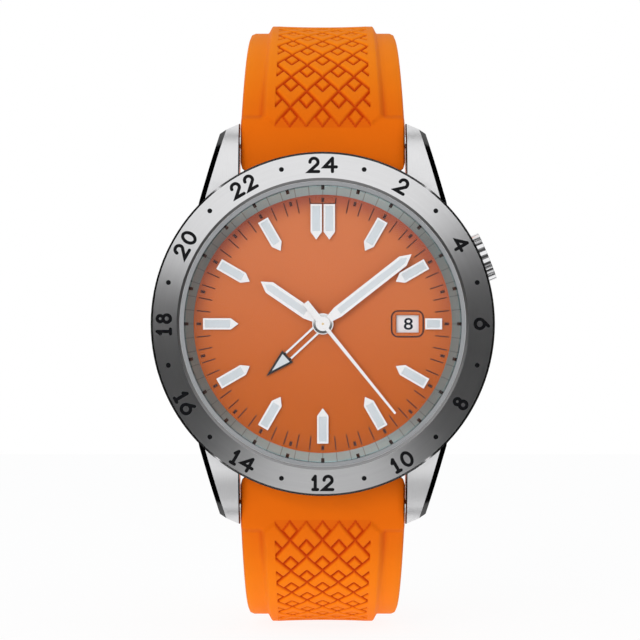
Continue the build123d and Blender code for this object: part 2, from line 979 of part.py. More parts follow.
def blade_points(length, width, point):
    """Right side and left side of a hand from its neck to its tip."""
    shoulder = length - point
    right = [
        (hand_neck_width / 2, hand_neck_start),
        (width / 2, hand_neck_end),
        (width / 2, shoulder),
        (0, length),
    ]
    left = [(-x, y) for x, y in reversed(right[:-1])]
    return [(hand_neck_width / 2, 0)] + right + left + [(-hand_neck_width / 2, 0)]


def lume_points(length, point, width):
    """Outline of a hand's lume."""
    shoulder = length - point
    return [
        (-width / 2, lume_start),
        (width / 2, lume_start),
        (width / 2, shoulder),
        (0, shoulder + point - lume_point_gap),
        (-width / 2, shoulder),
    ]


with BuildPart() as hour_hand:
    with BuildSketch(face_plane(hour_hand_height, hour_clock_degrees)):
        with BuildLine():
            Polyline(*blade_points(hour_hand_length, hour_hand_width, hour_hand_point), close=True)
        make_face()
        Circle(hub_radius)
        Circle(hour_pipe_radius, mode=Mode.SUBTRACT)
        with BuildLine():
            Polyline(*lume_points(hour_hand_length, hour_hand_point, hour_lume_width), close=True)
        make_face(mode=Mode.SUBTRACT)
    extrude(amount=hand_thickness)
finish(hour_hand, "hour_hand")

with BuildPart() as hour_hand_lume:
    with BuildSketch(face_plane(hour_hand_height, hour_clock_degrees)):
        with BuildLine():
            Polyline(*lume_points(hour_hand_length, hour_hand_point, hour_lume_width), close=True)
        make_face()
    extrude(amount=hand_thickness + lume_proud)
finish(hour_hand_lume, "hour_hand_lume")

with BuildPart() as minute_hand:
    with BuildSketch(face_plane(minute_hand_height, minute_clock_degrees)):
        with BuildLine():
            Polyline(
                *blade_points(minute_hand_length, minute_hand_width, minute_hand_point),
                close=True,
            )
        make_face()
        Circle(minute_hub_radius)
        Circle(cannon_radius, mode=Mode.SUBTRACT)
        with BuildLine():
            Polyline(
                *lume_points(minute_hand_length, minute_hand_point, minute_lume_width),
                close=True,
            )
        make_face(mode=Mode.SUBTRACT)
    extrude(amount=hand_thickness)
finish(minute_hand, "minute_hand")

with BuildPart() as minute_hand_lume:
    with BuildSketch(face_plane(minute_hand_height, minute_clock_degrees)):
        with BuildLine():
            Polyline(
                *lume_points(minute_hand_length, minute_hand_point, minute_lume_width),
                close=True,
            )
        make_face()
    extrude(amount=hand_thickness + lume_proud)
finish(minute_hand_lume, "minute_hand_lume")

second_hand_points = [
    (-second_hand_root_width / 2, 0),
    (second_hand_root_width / 2, 0),
    (second_hand_tip_width / 2, second_hand_length),
    (-second_hand_tip_width / 2, second_hand_length),
]
with BuildPart() as second_hand:
    with BuildSketch(face_plane(second_hand_height, second_clock_degrees)):
        with BuildLine():
            Polyline(*second_hand_points, close=True)
        make_face()
        with Locations((0, -second_tail_length / 2)):
            Rectangle(second_tail_width, second_tail_length)
        Circle(second_boss_radius)
        Circle(second_arbor_radius, mode=Mode.SUBTRACT)
    extrude(amount=second_hand_thickness)
finish(second_hand, "second_hand")

gmt_arrow = [
    (-gmt_arrow_width / 2, gmt_arrow_base),
    (gmt_arrow_width / 2, gmt_arrow_base),
    (0, gmt_arrow_tip),
]
arrow_slope = math.hypot(gmt_arrow_width / 2, gmt_arrow_tip - gmt_arrow_base)
arrow_inset = gmt_arrow_wall * arrow_slope / (gmt_arrow_tip - gmt_arrow_base)
inner_base = gmt_arrow_base + gmt_arrow_wall
arrow_half_at_base = (
    gmt_arrow_width / 2 * (gmt_arrow_tip - inner_base) / (gmt_arrow_tip - gmt_arrow_base)
)
inner_half = arrow_half_at_base - arrow_inset
inner_tip = inner_base + inner_half * (gmt_arrow_tip - gmt_arrow_base) / (gmt_arrow_width / 2)
gmt_lume_points = [(-inner_half, inner_base), (inner_half, inner_base), (0, inner_tip)]

with BuildPart() as gmt_hand:
    with BuildSketch(face_plane(gmt_hand_height, gmt_clock_degrees)):
        with Locations((-gmt_rail_spacing / 2, gmt_rail_end / 2),
                       (gmt_rail_spacing / 2, gmt_rail_end / 2)):
            Rectangle(gmt_rail_width, gmt_rail_end)
        with BuildLine():
            Polyline(*gmt_arrow, close=True)
        make_face()
        Circle(hub_radius)
        Circle(gmt_pipe_radius, mode=Mode.SUBTRACT)
        with BuildLine():
            Polyline(*gmt_lume_points, close=True)
        make_face(mode=Mode.SUBTRACT)
    extrude(amount=hand_thickness)
finish(gmt_hand, "gmt_hand")

with BuildPart() as gmt_hand_lume:
    with BuildSketch(face_plane(gmt_hand_height, gmt_clock_degrees)):
        with BuildLine():
            Polyline(*gmt_lume_points, close=True)
        make_face()
    extrude(amount=hand_thickness + lume_proud)
finish(gmt_hand_lume, "gmt_hand_lume")

# Motion work under the dial
motion_module = tooth_module(motion_distance, cannon_teeth, minute_wheel_teeth)
hour_module = tooth_module(motion_distance, minute_pinion_teeth, hour_wheel_teeth)
gmt_drive_module = tooth_module(gmt_distance, hour_wheel_teeth, gmt_drive_teeth)
gmt_module = tooth_module(gmt_distance, gmt_pinion_teeth, gmt_wheel_teeth)
minute_wheel_place = around(motion_distance, minute_wheel_bearing)
gmt_place = around(gmt_distance, gmt_bearing)
minute_wheel_phase = mate_phase(0, cannon_teeth, minute_wheel_bearing, minute_wheel_teeth)
hour_wheel_phase = mate_phase(
    0, minute_pinion_teeth, minute_wheel_bearing + 180, hour_wheel_teeth
)
gmt_drive_phase = mate_phase(hour_wheel_phase, hour_wheel_teeth, gmt_bearing, gmt_drive_teeth)
gmt_wheel_phase = mate_phase(0, gmt_pinion_teeth, gmt_bearing + 180, gmt_wheel_teeth)

with BuildPart() as cannon_pinion:
    with BuildSketch(face_plane(motion_wheel_height)):
        add(gear(cannon_teeth, motion_module))
        Circle(cannon_bore_radius, mode=Mode.SUBTRACT)
    extrude(amount=wheel_thickness)
    with BuildSketch(face_plane(motion_wheel_height + wheel_thickness)):
        Circle(cannon_radius)
        Circle(cannon_bore_radius, mode=Mode.SUBTRACT)
    extrude(amount=minute_hand_height + hand_thickness - motion_wheel_height - wheel_thickness)
finish(cannon_pinion, "cannon_pinion")

with BuildPart() as minute_wheel:
    with BuildSketch(face_plane(motion_wheel_height)):
        with Locations(minute_wheel_place):
            add(gear(minute_wheel_teeth, motion_module, minute_wheel_phase))
            Circle(post_radius + running_gap, mode=Mode.SUBTRACT)
    extrude(amount=wheel_thickness)
    with BuildSketch(face_plane(motion_wheel_height + wheel_thickness)):
        with Locations(minute_wheel_place):
            add(gear(minute_pinion_teeth, hour_module))
            Circle(post_radius + running_gap, mode=Mode.SUBTRACT)
    extrude(amount=hour_wheel_height - motion_wheel_height)
finish(minute_wheel, "minute_wheel")

with BuildPart() as hour_wheel:
    with BuildSketch(face_plane(hour_wheel_height)):
        add(gear(hour_wheel_teeth, hour_module, hour_wheel_phase))
        Circle(hour_pipe_bore_radius, mode=Mode.SUBTRACT)
    extrude(amount=wheel_thickness)
    with BuildSketch(face_plane(hour_wheel_height + wheel_thickness)):
        Circle(hour_pipe_radius)
        Circle(hour_pipe_bore_radius, mode=Mode.SUBTRACT)
    extrude(amount=hour_hand_height + hand_thickness - hour_wheel_height - wheel_thickness)
finish(hour_wheel, "hour_wheel")

with BuildPart() as gmt_intermediate_wheel:
    with BuildSketch(face_plane(hour_wheel_height)):
        with Locations(gmt_place):
            add(gear(gmt_drive_teeth, gmt_drive_module, gmt_drive_phase))
            Circle(post_radius + running_gap, mode=Mode.SUBTRACT)
    extrude(amount=wheel_thickness)
    with BuildSketch(face_plane(hour_wheel_height + wheel_thickness)):
        with Locations(gmt_place):
            Circle(post_radius * 3)
            Circle(post_radius + running_gap, mode=Mode.SUBTRACT)
    extrude(amount=gmt_wheel_height - hour_wheel_height - wheel_thickness)
    with BuildSketch(face_plane(gmt_wheel_height)):
        with Locations(gmt_place):
            add(gear(gmt_pinion_teeth, gmt_module))
            Circle(post_radius + running_gap, mode=Mode.SUBTRACT)
    extrude(amount=gmt_wheel_thickness)
finish(gmt_intermediate_wheel, "gmt_intermediate_wheel")

with BuildPart() as gmt_wheel:
    with BuildSketch(face_plane(gmt_wheel_height)):
        add(gear(gmt_wheel_teeth, gmt_module, gmt_wheel_phase))
        Circle(gmt_pipe_bore_radius, mode=Mode.SUBTRACT)
    extrude(amount=gmt_wheel_thickness)
    with BuildSketch(face_plane(gmt_wheel_height + gmt_wheel_thickness)):
        Circle(gmt_pipe_radius)
        Circle(gmt_pipe_bore_radius, mode=Mode.SUBTRACT)
    extrude(amount=gmt_hand_height + hand_thickness - gmt_wheel_height - gmt_wheel_thickness)
finish(gmt_wheel, "gmt_wheel")

with BuildPart() as date_disc:
    with BuildSketch(face_plane(date_disc_bottom)):
        Circle(date_disc_outer_radius)
        Circle(date_disc_inner_radius, mode=Mode.SUBTRACT)
        with PolarLocations(date_disc_inner_radius, date_teeth):
            Rectangle(2 * date_disc_tooth_depth, date_disc_tooth_depth)
    extrude(amount=date_disc_thickness)
finish(date_disc, "date_disc")

# Going train between the main plate and the bridges
third_place = (0, third_distance)
barrel_pitch_radius = barrel_module * barrel_teeth / 2
third_pinion_pitch_radius = barrel_module * third_pinion_teeth / 2
barrel_place = (0, third_distance + barrel_pitch_radius + third_pinion_pitch_radius)
escape_place = (0, -escape_distance)
fork_place = (0, -escape_distance - fork_distance)
balance_place = (0, -balance_distance)
third_module = tooth_module(third_distance, third_wheel_teeth, second_pinion_teeth)
escape_module = tooth_module(escape_distance, second_wheel_teeth, escape_pinion_teeth)
train_bottom = bridge_bottom_height + train_gap
train_top = plate_bottom_height - train_gap
pivot_length = train_gap + pivot_bore_radius


def train_plane(height):
    """Plane parallel to the dial whose +Y points from the hand axis at the barrel."""
    return face_plane(height, train_clock_degrees)


def arbor(place, bottom, top, radius=arbor_radius):
    """Round shaft between two heights, added to the open part."""
    with BuildSketch(train_plane(bottom)) as section:
        with Locations(place):
            Circle(radius)
    extrude(section.sketch, amount=top - bottom)


barrel_drum_radius = barrel_pitch_radius * barrel_drum_share
with BuildPart() as barrel:
    with BuildSketch(train_plane(barrel_drum_height)):
        with Locations(barrel_place):
            Circle(barrel_drum_radius)
    extrude(amount=barrel_tooth_height - barrel_drum_height)
    with BuildSketch(train_plane(barrel_tooth_height)):
        with Locations(barrel_place):
            add(gear(barrel_teeth, barrel_module, -90))
    extrude(amount=wheel_thickness)
    with BuildSketch(train_plane(barrel_drum_height + barrel_wall / 2)):
        with Locations(barrel_place):
            Circle(barrel_drum_radius - barrel_wall)
            Circle(post_radius * 3, mode=Mode.SUBTRACT)
    extrude(amount=barrel_tooth_height - barrel_drum_height - barrel_wall, mode=Mode.SUBTRACT)
    arbor(barrel_place, train_bottom - pivot_length, train_top + pivot_length, post_radius)
finish(barrel, "barrel")

mainspring_turns = 7
mainspring_strip = 0.1
mainspring_inner_radius = post_radius * 3 + mainspring_strip
mainspring_outer_radius = barrel_drum_radius - barrel_wall - mainspring_strip
mainspring_bottom = barrel_drum_height + barrel_wall / 2
mainspring_height = barrel_tooth_height - barrel_drum_height - barrel_wall


def spiral_band(inner, outer, turns, strip, points_per_turn=24):
    """Closed outline of a flat spiral strip."""
    count = turns * points_per_turn
    middle = [
        (inner + (outer - inner) * index / count, 360 * index / points_per_turn)
        for index in range(count + 1)
    ]
    outside = [around(radius + strip / 2, angle) for radius, angle in middle]
    inside = [around(radius - strip / 2, angle) for radius, angle in middle]
    return outside, inside


def spiral_face(inner, outer, turns, strip):
    """Face of a flat spiral strip, on the origin."""
    outside, inside = spiral_band(inner, outer, turns, strip)
    with BuildSketch() as band:
        with BuildLine():
            Spline(*outside)
            Line(outside[-1], inside[-1])
            Spline(*inside)
            Line(inside[0], outside[0])
        make_face()
    return band.sketch


with BuildPart() as mainspring:
    with BuildSketch(train_plane(mainspring_bottom)):
        with Locations(barrel_place):
            add(spiral_face(mainspring_inner_radius, mainspring_outer_radius,
                            mainspring_turns, mainspring_strip))
    extrude(amount=mainspring_height)
finish(mainspring, "mainspring")

third_pinion_phase = mate_phase(-90, barrel_teeth, -90, third_pinion_teeth)
with BuildPart() as third_wheel:
    with BuildSketch(train_plane(third_wheel_height)):
        with Locations(third_place):
            add(gear(third_wheel_teeth, third_module, -90))
    extrude(amount=wheel_thickness)
    with BuildSketch(train_plane(third_wheel_height + wheel_thickness)):
        with Locations(third_place):
            add(gear(third_pinion_teeth, barrel_module, third_pinion_phase))
    extrude(amount=train_top - third_wheel_height - wheel_thickness)
    arbor(third_place, train_bottom - pivot_length, train_top + pivot_length)
finish(third_wheel, "third_wheel")

second_pinion_phase = mate_phase(-90, third_wheel_teeth, -90, second_pinion_teeth)
with BuildPart() as seconds_wheel:
    with BuildSketch(train_plane(second_wheel_height)):
        add(gear(second_wheel_teeth, escape_module, -90))
    extrude(amount=wheel_thickness)
    with BuildSketch(train_plane(train_bottom)):
        add(gear(second_pinion_teeth, third_module, second_pinion_phase))
    extrude(amount=second_wheel_height - train_bottom)
    arbor((0, 0), train_bottom - pivot_length, second_hand_height + second_hand_thickness,
          second_arbor_radius)
finish(seconds_wheel, "seconds_wheel")

escape_pinion_phase = mate_phase(-90, second_wheel_teeth, -90, escape_pinion_teeth)
with BuildPart() as escape_wheel:
    with BuildSketch(train_plane(escape_wheel_height)):
        with Locations(escape_place):
            Circle(escape_wheel_radius - escape_tooth_depth)
            with PolarLocations(escape_wheel_radius - escape_tooth_depth, escape_teeth):
                Rectangle(2 * escape_tooth_depth, escape_tooth_depth / 3)
    extrude(amount=wheel_thickness)
    with BuildSketch(train_plane(escape_wheel_height + wheel_thickness)):
        with Locations(escape_place):
            add(gear(escape_pinion_teeth, escape_module, escape_pinion_phase))
    extrude(amount=train_top - escape_wheel_height - wheel_thickness)
    arbor(escape_place, train_bottom - pivot_length, train_top + pivot_length)
finish(escape_wheel, "escape_wheel")

with BuildPart() as pallet_fork:
    with BuildSketch(train_plane(fork_height)):
        with Locations(fork_place):
            Circle(fork_arm_width)
            Rectangle(2 * fork_arm_length, fork_arm_width)
        with Locations((0, fork_place[1] - fork_tail_length / 2)):
            Rectangle(fork_arm_width, fork_tail_length)
    extrude(amount=wheel_thickness)
    with BuildSketch(train_plane(fork_height + wheel_thickness)):
        with Locations((-fork_arm_length + fork_stone_size / 2, fork_place[1]),
                       (fork_arm_length - fork_stone_size / 2, fork_place[1])):
            Rectangle(fork_stone_size, fork_stone_size)
    extrude(amount=wheel_thickness)
    arbor(fork_place, fork_height - train_gap - pivot_bore_radius / 2, train_top + pivot_length)
finish(pallet_fork, "pallet_fork")

with BuildPart() as balance_wheel:
    with BuildSketch(train_plane(balance_height)):
        with Locations(balance_place):
            Circle(balance_radius)
            Circle(balance_radius - balance_rim_width, mode=Mode.SUBTRACT)
            with PolarLocations(balance_radius / 2, 3):
                Rectangle(balance_radius - balance_rim_width / 2, balance_arm_width)
            Circle(2 * balance_arm_width)
    extrude(amount=balance_thickness)
    arbor(balance_place, bridge_top_height + cock_thickness / 2, train_top + pivot_length)
finish(balance_wheel, "balance_wheel")

hairspring_outer_radius = hairspring_inner_radius + hairspring_pitch * hairspring_turns
with BuildPart() as hairspring:
    with BuildSketch(train_plane(hairspring_height)):
        with Locations(balance_place):
            add(spiral_face(hairspring_inner_radius, hairspring_outer_radius,
                            hairspring_turns, hairspring_strip))
    extrude(amount=hairspring_thickness)
finish(hairspring, "hairspring")
print("hairspring gap to itself", round(hairspring_pitch - hairspring_strip, 2))

# Main plate
pivot_places = [third_place, escape_place, fork_place, balance_place]
clutch_end = clutch_start + clutch_length + crown_travel
pocket_margin = 0.25
retainer_place = (retainer_distance, -retainer_reach)

with BuildPart() as main_plate:
    with BuildSketch(face_plane(plate_bottom_height)):
        Circle(movement_radius)
    extrude(amount=plate_top_height - plate_bottom_height)
    with BuildSketch(face_plane(motion_floor_height)):
        Circle(motion_distance + minute_pinion_teeth * hour_module)
        with Locations(gmt_place):
            Circle(gmt_drive_module * gmt_drive_teeth / 2 + pocket_margin)
        with Locations(minute_wheel_place):
            Circle(motion_module * minute_wheel_teeth / 2 + pocket_margin)
    extrude(amount=plate_top_height, mode=Mode.SUBTRACT)
    with BuildSketch(face_plane(motion_floor_height)):
        with Locations(minute_wheel_place):
            Circle(post_radius)
    extrude(amount=hour_wheel_height + wheel_thickness - motion_floor_height)
    with BuildSketch(face_plane(motion_floor_height)):
        with Locations(gmt_place):
            Circle(post_radius)
    extrude(amount=gmt_wheel_height + wheel_thickness - motion_floor_height)
    with BuildSketch(stem_plan(retainer_recess_height)):
        with Locations(retainer_place):
            Circle(retainer_pocket_radius)
    extrude(amount=plate_top_height, mode=Mode.SUBTRACT)
    with BuildSketch(stem_plan(retainer_recess_height)):
        with Locations(retainer_place):
            Circle(post_radius)
    extrude(amount=retainer_thickness + retainer_height - retainer_recess_height)
    with BuildSketch(stem_plan(plate_bottom_height)):
        with Locations(((stem_start + movement_radius) / 2 + stem_radius, 0)):
            Rectangle(movement_radius - stem_start + 2 * overrun, 2 * stem_slot_half_width)
        with Locations(((clutch_start + clutch_end) / 2, 0)):
            Rectangle(clutch_end - clutch_start + 2 * pocket_margin, 2 * clutch_pocket_half_width)
    extrude(amount=plate_top_height, mode=Mode.SUBTRACT)
    with BuildSketch(train_plane(plate_bottom_height)):
        with Locations(*pivot_places):
            Circle(pivot_bore_radius)
        with Locations(barrel_place):
            Circle(post_radius + running_gap)
        Circle(second_arbor_radius + running_gap)
    extrude(amount=plate_top_height, mode=Mode.SUBTRACT)
finish(main_plate, "main_plate")

# Bridges, their screws and jewels
barrel_posts = [(-barrel_post_x, barrel_post_y), (barrel_post_x, barrel_post_y)]
train_posts = [(-train_post_x, train_post_y), (train_post_x, train_post_y)]
cock_post = (cock_foot_x, cock_foot_y)
bridge_thickness = bridge_bottom_height - bridge_top_height
post_height = plate_bottom_height - bridge_bottom_height
jewel_places = [third_place, (0, 0), escape_place]


def bridge_holes(places, radius):
    """Round holes through a bridge and the posts under it."""
    with BuildSketch(train_plane(bridge_top_height)) as section:
        with Locations(*places):
            Circle(radius)
    extrude(section.sketch, amount=plate_bottom_height - bridge_top_height, mode=Mode.SUBTRACT)


with BuildPart() as barrel_bridge:
    with BuildSketch(train_plane(bridge_top_height)):
        Circle(bridge_radius)
        with Locations((0, bridge_split + bridge_gap / 2 - bridge_radius)):
            Rectangle(2 * bridge_radius, 2 * bridge_radius, mode=Mode.SUBTRACT)
    extrude(amount=bridge_thickness)
    with BuildSketch(train_plane(bridge_bottom_height)):
        with Locations(*barrel_posts):
            Circle(bridge_post_radius)
    extrude(amount=post_height)
    bridge_holes(barrel_posts, screw_shank_radius)
    bridge_holes([barrel_place], post_radius + running_gap)
finish(barrel_bridge, "barrel_bridge")

with BuildPart() as train_bridge:
    with BuildSketch(train_plane(bridge_top_height)):
        Circle(bridge_radius)
        with Locations((0, bridge_split - bridge_gap / 2 + bridge_radius)):
            Rectangle(2 * bridge_radius, 2 * bridge_radius, mode=Mode.SUBTRACT)
        with Locations((0, bridge_lower_edge - bridge_radius)):
            Rectangle(2 * bridge_radius, 2 * bridge_radius, mode=Mode.SUBTRACT)
        with Locations(balance_place):
            Circle(balance_clearance_radius, mode=Mode.SUBTRACT)
    extrude(amount=bridge_thickness)
    with BuildSketch(train_plane(bridge_bottom_height)):
        with Locations(*train_posts):
            Circle(bridge_post_radius)
    extrude(amount=post_height)
    bridge_holes(train_posts, screw_shank_radius)
    with BuildSketch(train_plane(bridge_bottom_height - jewel_thickness)):
        with Locations(*jewel_places):
            Circle(jewel_radius)
    extrude(amount=jewel_thickness, mode=Mode.SUBTRACT)
finish(train_bridge, "train_bridge")

with BuildPart() as jewels:
    with BuildSketch(train_plane(bridge_bottom_height - jewel_thickness)):
        with Locations(*jewel_places):
            Circle(jewel_radius)
            Circle(pivot_bore_radius, mode=Mode.SUBTRACT)
    extrude(amount=jewel_thickness)
finish(jewels, "jewels")

cock_bearing = math.degrees(math.atan2(cock_foot_y + balance_distance, cock_foot_x))
cock_length = math.hypot(cock_foot_x, cock_foot_y + balance_distance)
cock_middle = (cock_foot_x / 2, (cock_foot_y - balance_distance) / 2)
with BuildPart() as balance_cock:
    with BuildSketch(train_plane(bridge_top_height)):
        with Locations(Location((cock_middle[0], cock_middle[1], 0), cock_bearing)):
            SlotCenterToCenter(cock_length, 2 * cock_radius)
    extrude(amount=cock_thickness)
    with BuildSketch(train_plane(bridge_top_height + cock_thickness)):
        with Locations(cock_post):
            Circle(cock_radius)
    extrude(amount=plate_bottom_height - bridge_top_height - cock_thickness)
    bridge_holes([balance_place], pivot_bore_radius)
    bridge_holes([cock_post], screw_shank_radius)
finish(balance_cock, "balance_cock")

pallet_foot = (-pallet_foot_x, fork_place[1] + pallet_foot_rise)
pallet_cock_length = math.hypot(pallet_foot[0], pallet_foot[1] - fork_place[1])
pallet_cock_bearing = math.degrees(math.atan2(pallet_foot[1] - fork_place[1], pallet_foot[0]))
pallet_middle = (pallet_foot[0] / 2, (pallet_foot[1] + fork_place[1]) / 2)
with BuildPart() as pallet_cock:
    with BuildSketch(train_plane(pallet_cock_height)):
        with Locations(Location((pallet_middle[0], pallet_middle[1], 0), pallet_cock_bearing)):
            SlotCenterToCenter(pallet_cock_length, 2 * fork_arm_width)
        with Locations(fork_place):
            Circle(pivot_bore_radius, mode=Mode.SUBTRACT)
    extrude(amount=pallet_cock_thickness)
    with BuildSketch(train_plane(pallet_cock_height + pallet_cock_thickness)):
        with Locations(pallet_foot):
            Circle(fork_arm_width)
    extrude(amount=plate_bottom_height - pallet_cock_height - pallet_cock_thickness)
finish(pallet_cock, "pallet_cock")

screw_places = barrel_posts + train_posts + [cock_post]
with BuildPart() as movement_screws:
    with BuildSketch(train_plane(bridge_top_height - screw_head_height)):
        with Locations(*screw_places):
            Circle(screw_head_radius)
    extrude(amount=screw_head_height)
    with BuildSketch(train_plane(bridge_top_height)):
        with Locations(*screw_places):
            Circle(screw_shank_radius)
    extrude(amount=plate_bottom_height - bridge_top_height)
    with BuildSketch(train_plane(bridge_top_height - screw_head_height)):
        with Locations(*screw_places):
            Rectangle(2 * screw_head_radius, screw_slot_width)
    extrude(amount=screw_slot_depth, mode=Mode.SUBTRACT)
finish(movement_screws, "movement_screws")

# Ring that holds the movement in the case
with BuildPart() as movement_ring:
    with BuildSketch(face_plane(movement_ring_bottom)):
        Circle(movement_bore_radius)
        Circle(movement_radius + movement_ring_gap, mode=Mode.SUBTRACT)
    extrude(amount=dial_height - dial_thickness - movement_ring_bottom)
    with BuildSketch(face_plane(movement_ring_bottom)):
        Circle(movement_radius + 2 * movement_ring_gap)
        Circle(bridge_radius + movement_ring_gap, mode=Mode.SUBTRACT)
    extrude(amount=plate_bottom_height - movement_ring_bottom)
    with BuildSketch(crown_plane(bridge_radius - overrun)):
        Circle(tube_bore_radius)
    extrude(amount=crown_radius * 2, mode=Mode.SUBTRACT)
finish(movement_ring, "movement_ring")

# Winding rotor on its bearing
with BuildPart() as rotor_bearing:
    with BuildSketch(face_plane(rotor_bearing_bottom)):
        Circle(rotor_bearing_radius)
    extrude(amount=bridge_top_height - rotor_bearing_bottom)
finish(rotor_bearing, "rotor_bearing")

with BuildPart() as rotor:
    with BuildSketch(face_plane(rotor_web_height)):
        Circle(rotor_outer_radius)
        with Locations((0, rotor_outer_radius)):
            Rectangle(2 * rotor_outer_radius, 2 * rotor_outer_radius, mode=Mode.SUBTRACT)
        Circle(2 * rotor_bearing_radius)
        Circle(rotor_bearing_radius + running_gap, mode=Mode.SUBTRACT)
    extrude(amount=rotor_web_thickness)
    with BuildSketch(face_plane(rotor_rim_height)):
        Circle(rotor_outer_radius)
        Circle(rotor_rim_inner_radius, mode=Mode.SUBTRACT)
        with Locations((0, rotor_outer_radius)):
            Rectangle(2 * rotor_outer_radius, 2 * rotor_outer_radius, mode=Mode.SUBTRACT)
    extrude(amount=rotor_rim_thickness)
finish(rotor, "rotor")

# Crown, its tube and the keyless work
with BuildPart() as crown_tube:
    with BuildSketch(crown_plane(tube_start)):
        Circle(tube_radius)
        Circle(tube_bore_radius, mode=Mode.SUBTRACT)
    extrude(amount=tube_end - tube_start)
finish(crown_tube, "crown_tube")

crown_dome_radius = crown_radius - (crown_end - crown_flute_end)
with BuildPart() as crown:
    with BuildSketch(crown_plane(crown_start)):
        Circle(crown_radius)
        with PolarLocations(crown_flute_centre, crown_flutes):
            Circle(crown_flute_radius, mode=Mode.SUBTRACT)
    extrude(amount=crown_flute_end - crown_start)
    with BuildSketch(crown_plane(crown_flute_end)) as dome_base:
        Circle(crown_radius - crown_flute_radius)
    with BuildSketch(crown_plane(crown_end)) as dome_top:
        Circle(crown_dome_radius - crown_flute_radius)
    loft(sections=[dome_base.sketch, dome_top.sketch])
    with BuildSketch(crown_plane(crown_start)):
        Circle(crown_cavity_radius)
    extrude(amount=crown_cavity_end - crown_start, mode=Mode.SUBTRACT)
    with BuildSketch(crown_plane(crown_gasket_start)):
        Circle(crown_gasket_radius)
    extrude(amount=crown_gasket_width, mode=Mode.SUBTRACT)
    with BuildSketch(crown_plane(crown_cavity_end)):
        Circle(stem_radius)
    extrude(amount=stem_end - crown_cavity_end, mode=Mode.SUBTRACT)
finish(crown, "crown")

with BuildPart() as crown_gasket:
    with BuildSketch(crown_plane(crown_gasket_start)):
        Circle(crown_gasket_radius)
        Circle(tube_radius + running_gap / 2, mode=Mode.SUBTRACT)
    extrude(amount=crown_gasket_width)
finish(crown_gasket, "crown_gasket")

groove_width = crown_travel + retainer_tab_width + 2 * groove_gap
groove_start = retainer_distance + retainer_tab_width / 2 + groove_gap - groove_width
with BuildPart() as stem:
    with BuildSketch(crown_plane(stem_start)):
        Circle(stem_radius)
    extrude(amount=stem_end - stem_start)
    with BuildSketch(crown_plane(groove_start)):
        Circle(2 * stem_radius)
        Circle(groove_radius, mode=Mode.SUBTRACT)
    extrude(amount=groove_width, mode=Mode.SUBTRACT)
finish(stem, "stem")

with BuildPart() as sliding_pinion:
    with BuildSketch(crown_plane(clutch_start)):
        Circle(clutch_radius)
        Circle(stem_radius, mode=Mode.SUBTRACT)
    extrude(amount=clutch_length)
finish(sliding_pinion, "sliding_pinion")

# Plate on a post of the main plate, whose tab in the stem's groove ends the crown's travel
with BuildPart() as stem_retainer:
    with BuildSketch(stem_plan(retainer_recess_height)):
        with Locations(retainer_place):
            Circle(retainer_width)
            Circle(post_radius, mode=Mode.SUBTRACT)
    extrude(amount=retainer_height - retainer_recess_height)
    with BuildSketch(stem_plan(retainer_height)):
        with Locations((retainer_distance, -retainer_reach / 2)):
            Rectangle(retainer_width, retainer_reach)
        with Locations(retainer_place):
            Circle(retainer_width)
            Circle(post_radius, mode=Mode.SUBTRACT)
    extrude(amount=retainer_thickness)
    with BuildSketch(stem_plan(retainer_height - retainer_tab_drop)):
        with Locations((retainer_distance, -retainer_tab_width / 2)):
            Rectangle(retainer_tab_width, retainer_tab_width)
    extrude(amount=retainer_tab_drop)
finish(stem_retainer, "stem_retainer")

# Strap halves


def walk(legs, distance):
    """Point and heading on the strap's outer face after a distance along its legs.

    A leg is a length and the degrees it turns towards the wrist.
    """
    z = strap_start_z
    depth = strap_start_depth
    heading = math.radians(strap_start_degrees)
    for length, turn in legs:
        step = min(length, distance)
        bend = math.radians(turn) * step / length
        if bend == 0:
            z += step * math.cos(heading)
            depth += step * math.sin(heading)
        else:
            radius = step / bend
            z += radius * (math.sin(heading + bend) - math.sin(heading))
            depth += radius * (math.cos(heading) - math.cos(heading + bend))
        heading += bend
        distance -= step
    return z, depth, heading


def strap_plane(legs, distance, side):
    """Plane across the strap: +X is +X of the watch and +Y leaves the wrist."""
    z, depth, heading = walk(legs, distance)
    along = Vector(0, math.sin(heading), side * math.cos(heading))
    return Plane(origin=(0, depth, side * z), x_dir=(1, 0, 0), z_dir=along * -side)


def arc_leg(radius, turn):
    """Leg of a strap path that is an arc."""
    return (radius * math.radians(turn), turn)


def strap_legs(back_radius, straight):
    """Legs of a strap half from the lug tip to its end."""
    return [
        (crest_length, crest_turn),
        arc_leg(shoulder_arc_radius, shoulder_turn),
        arc_leg(back_radius, back_turn),
        (straight, 0),
    ]


def blend_value(start, end, share):
    """Value between two sizes."""
    return start + (end - start) * share


def strap_section(along_share, step_share):
    """Corners of the strap's section with its raised panel."""
    first = min(1, along_share * 3)
    second = max(0, (along_share * 3 - 1) / 2)
    width = blend_value(blend_value(strap_half_width, middle_half_width, first),
                        end_half_width, second)
    thickness = blend_value(blend_value(root_thickness, middle_thickness, first),
                            end_thickness, second)
    base = blend_value(panel_base_root, panel_base_end, first)
    top = blend_value(panel_top_root, panel_top_end, first)
    step = panel_step * step_share
    return [
        (-width, -step),
        (-base, -step),
        (-top, 0),
        (top, 0),
        (base, -step),
        (width, -step),
        (width, -thickness),
        (-width, -thickness),
    ]


def strap_stations(legs):
    """Distances along the strap at which its section is drawn."""
    stations = [0, step_length]
    reached = crest_length
    for length, turn in legs[1:-1]:
        count = math.ceil(turn / arc_station_degrees)
        for index in range(count):
            stations.append(reached + length * index / count)
        reached += length
    stations.append(reached)
    stations.append(reached + legs[-1][0])
    return stations


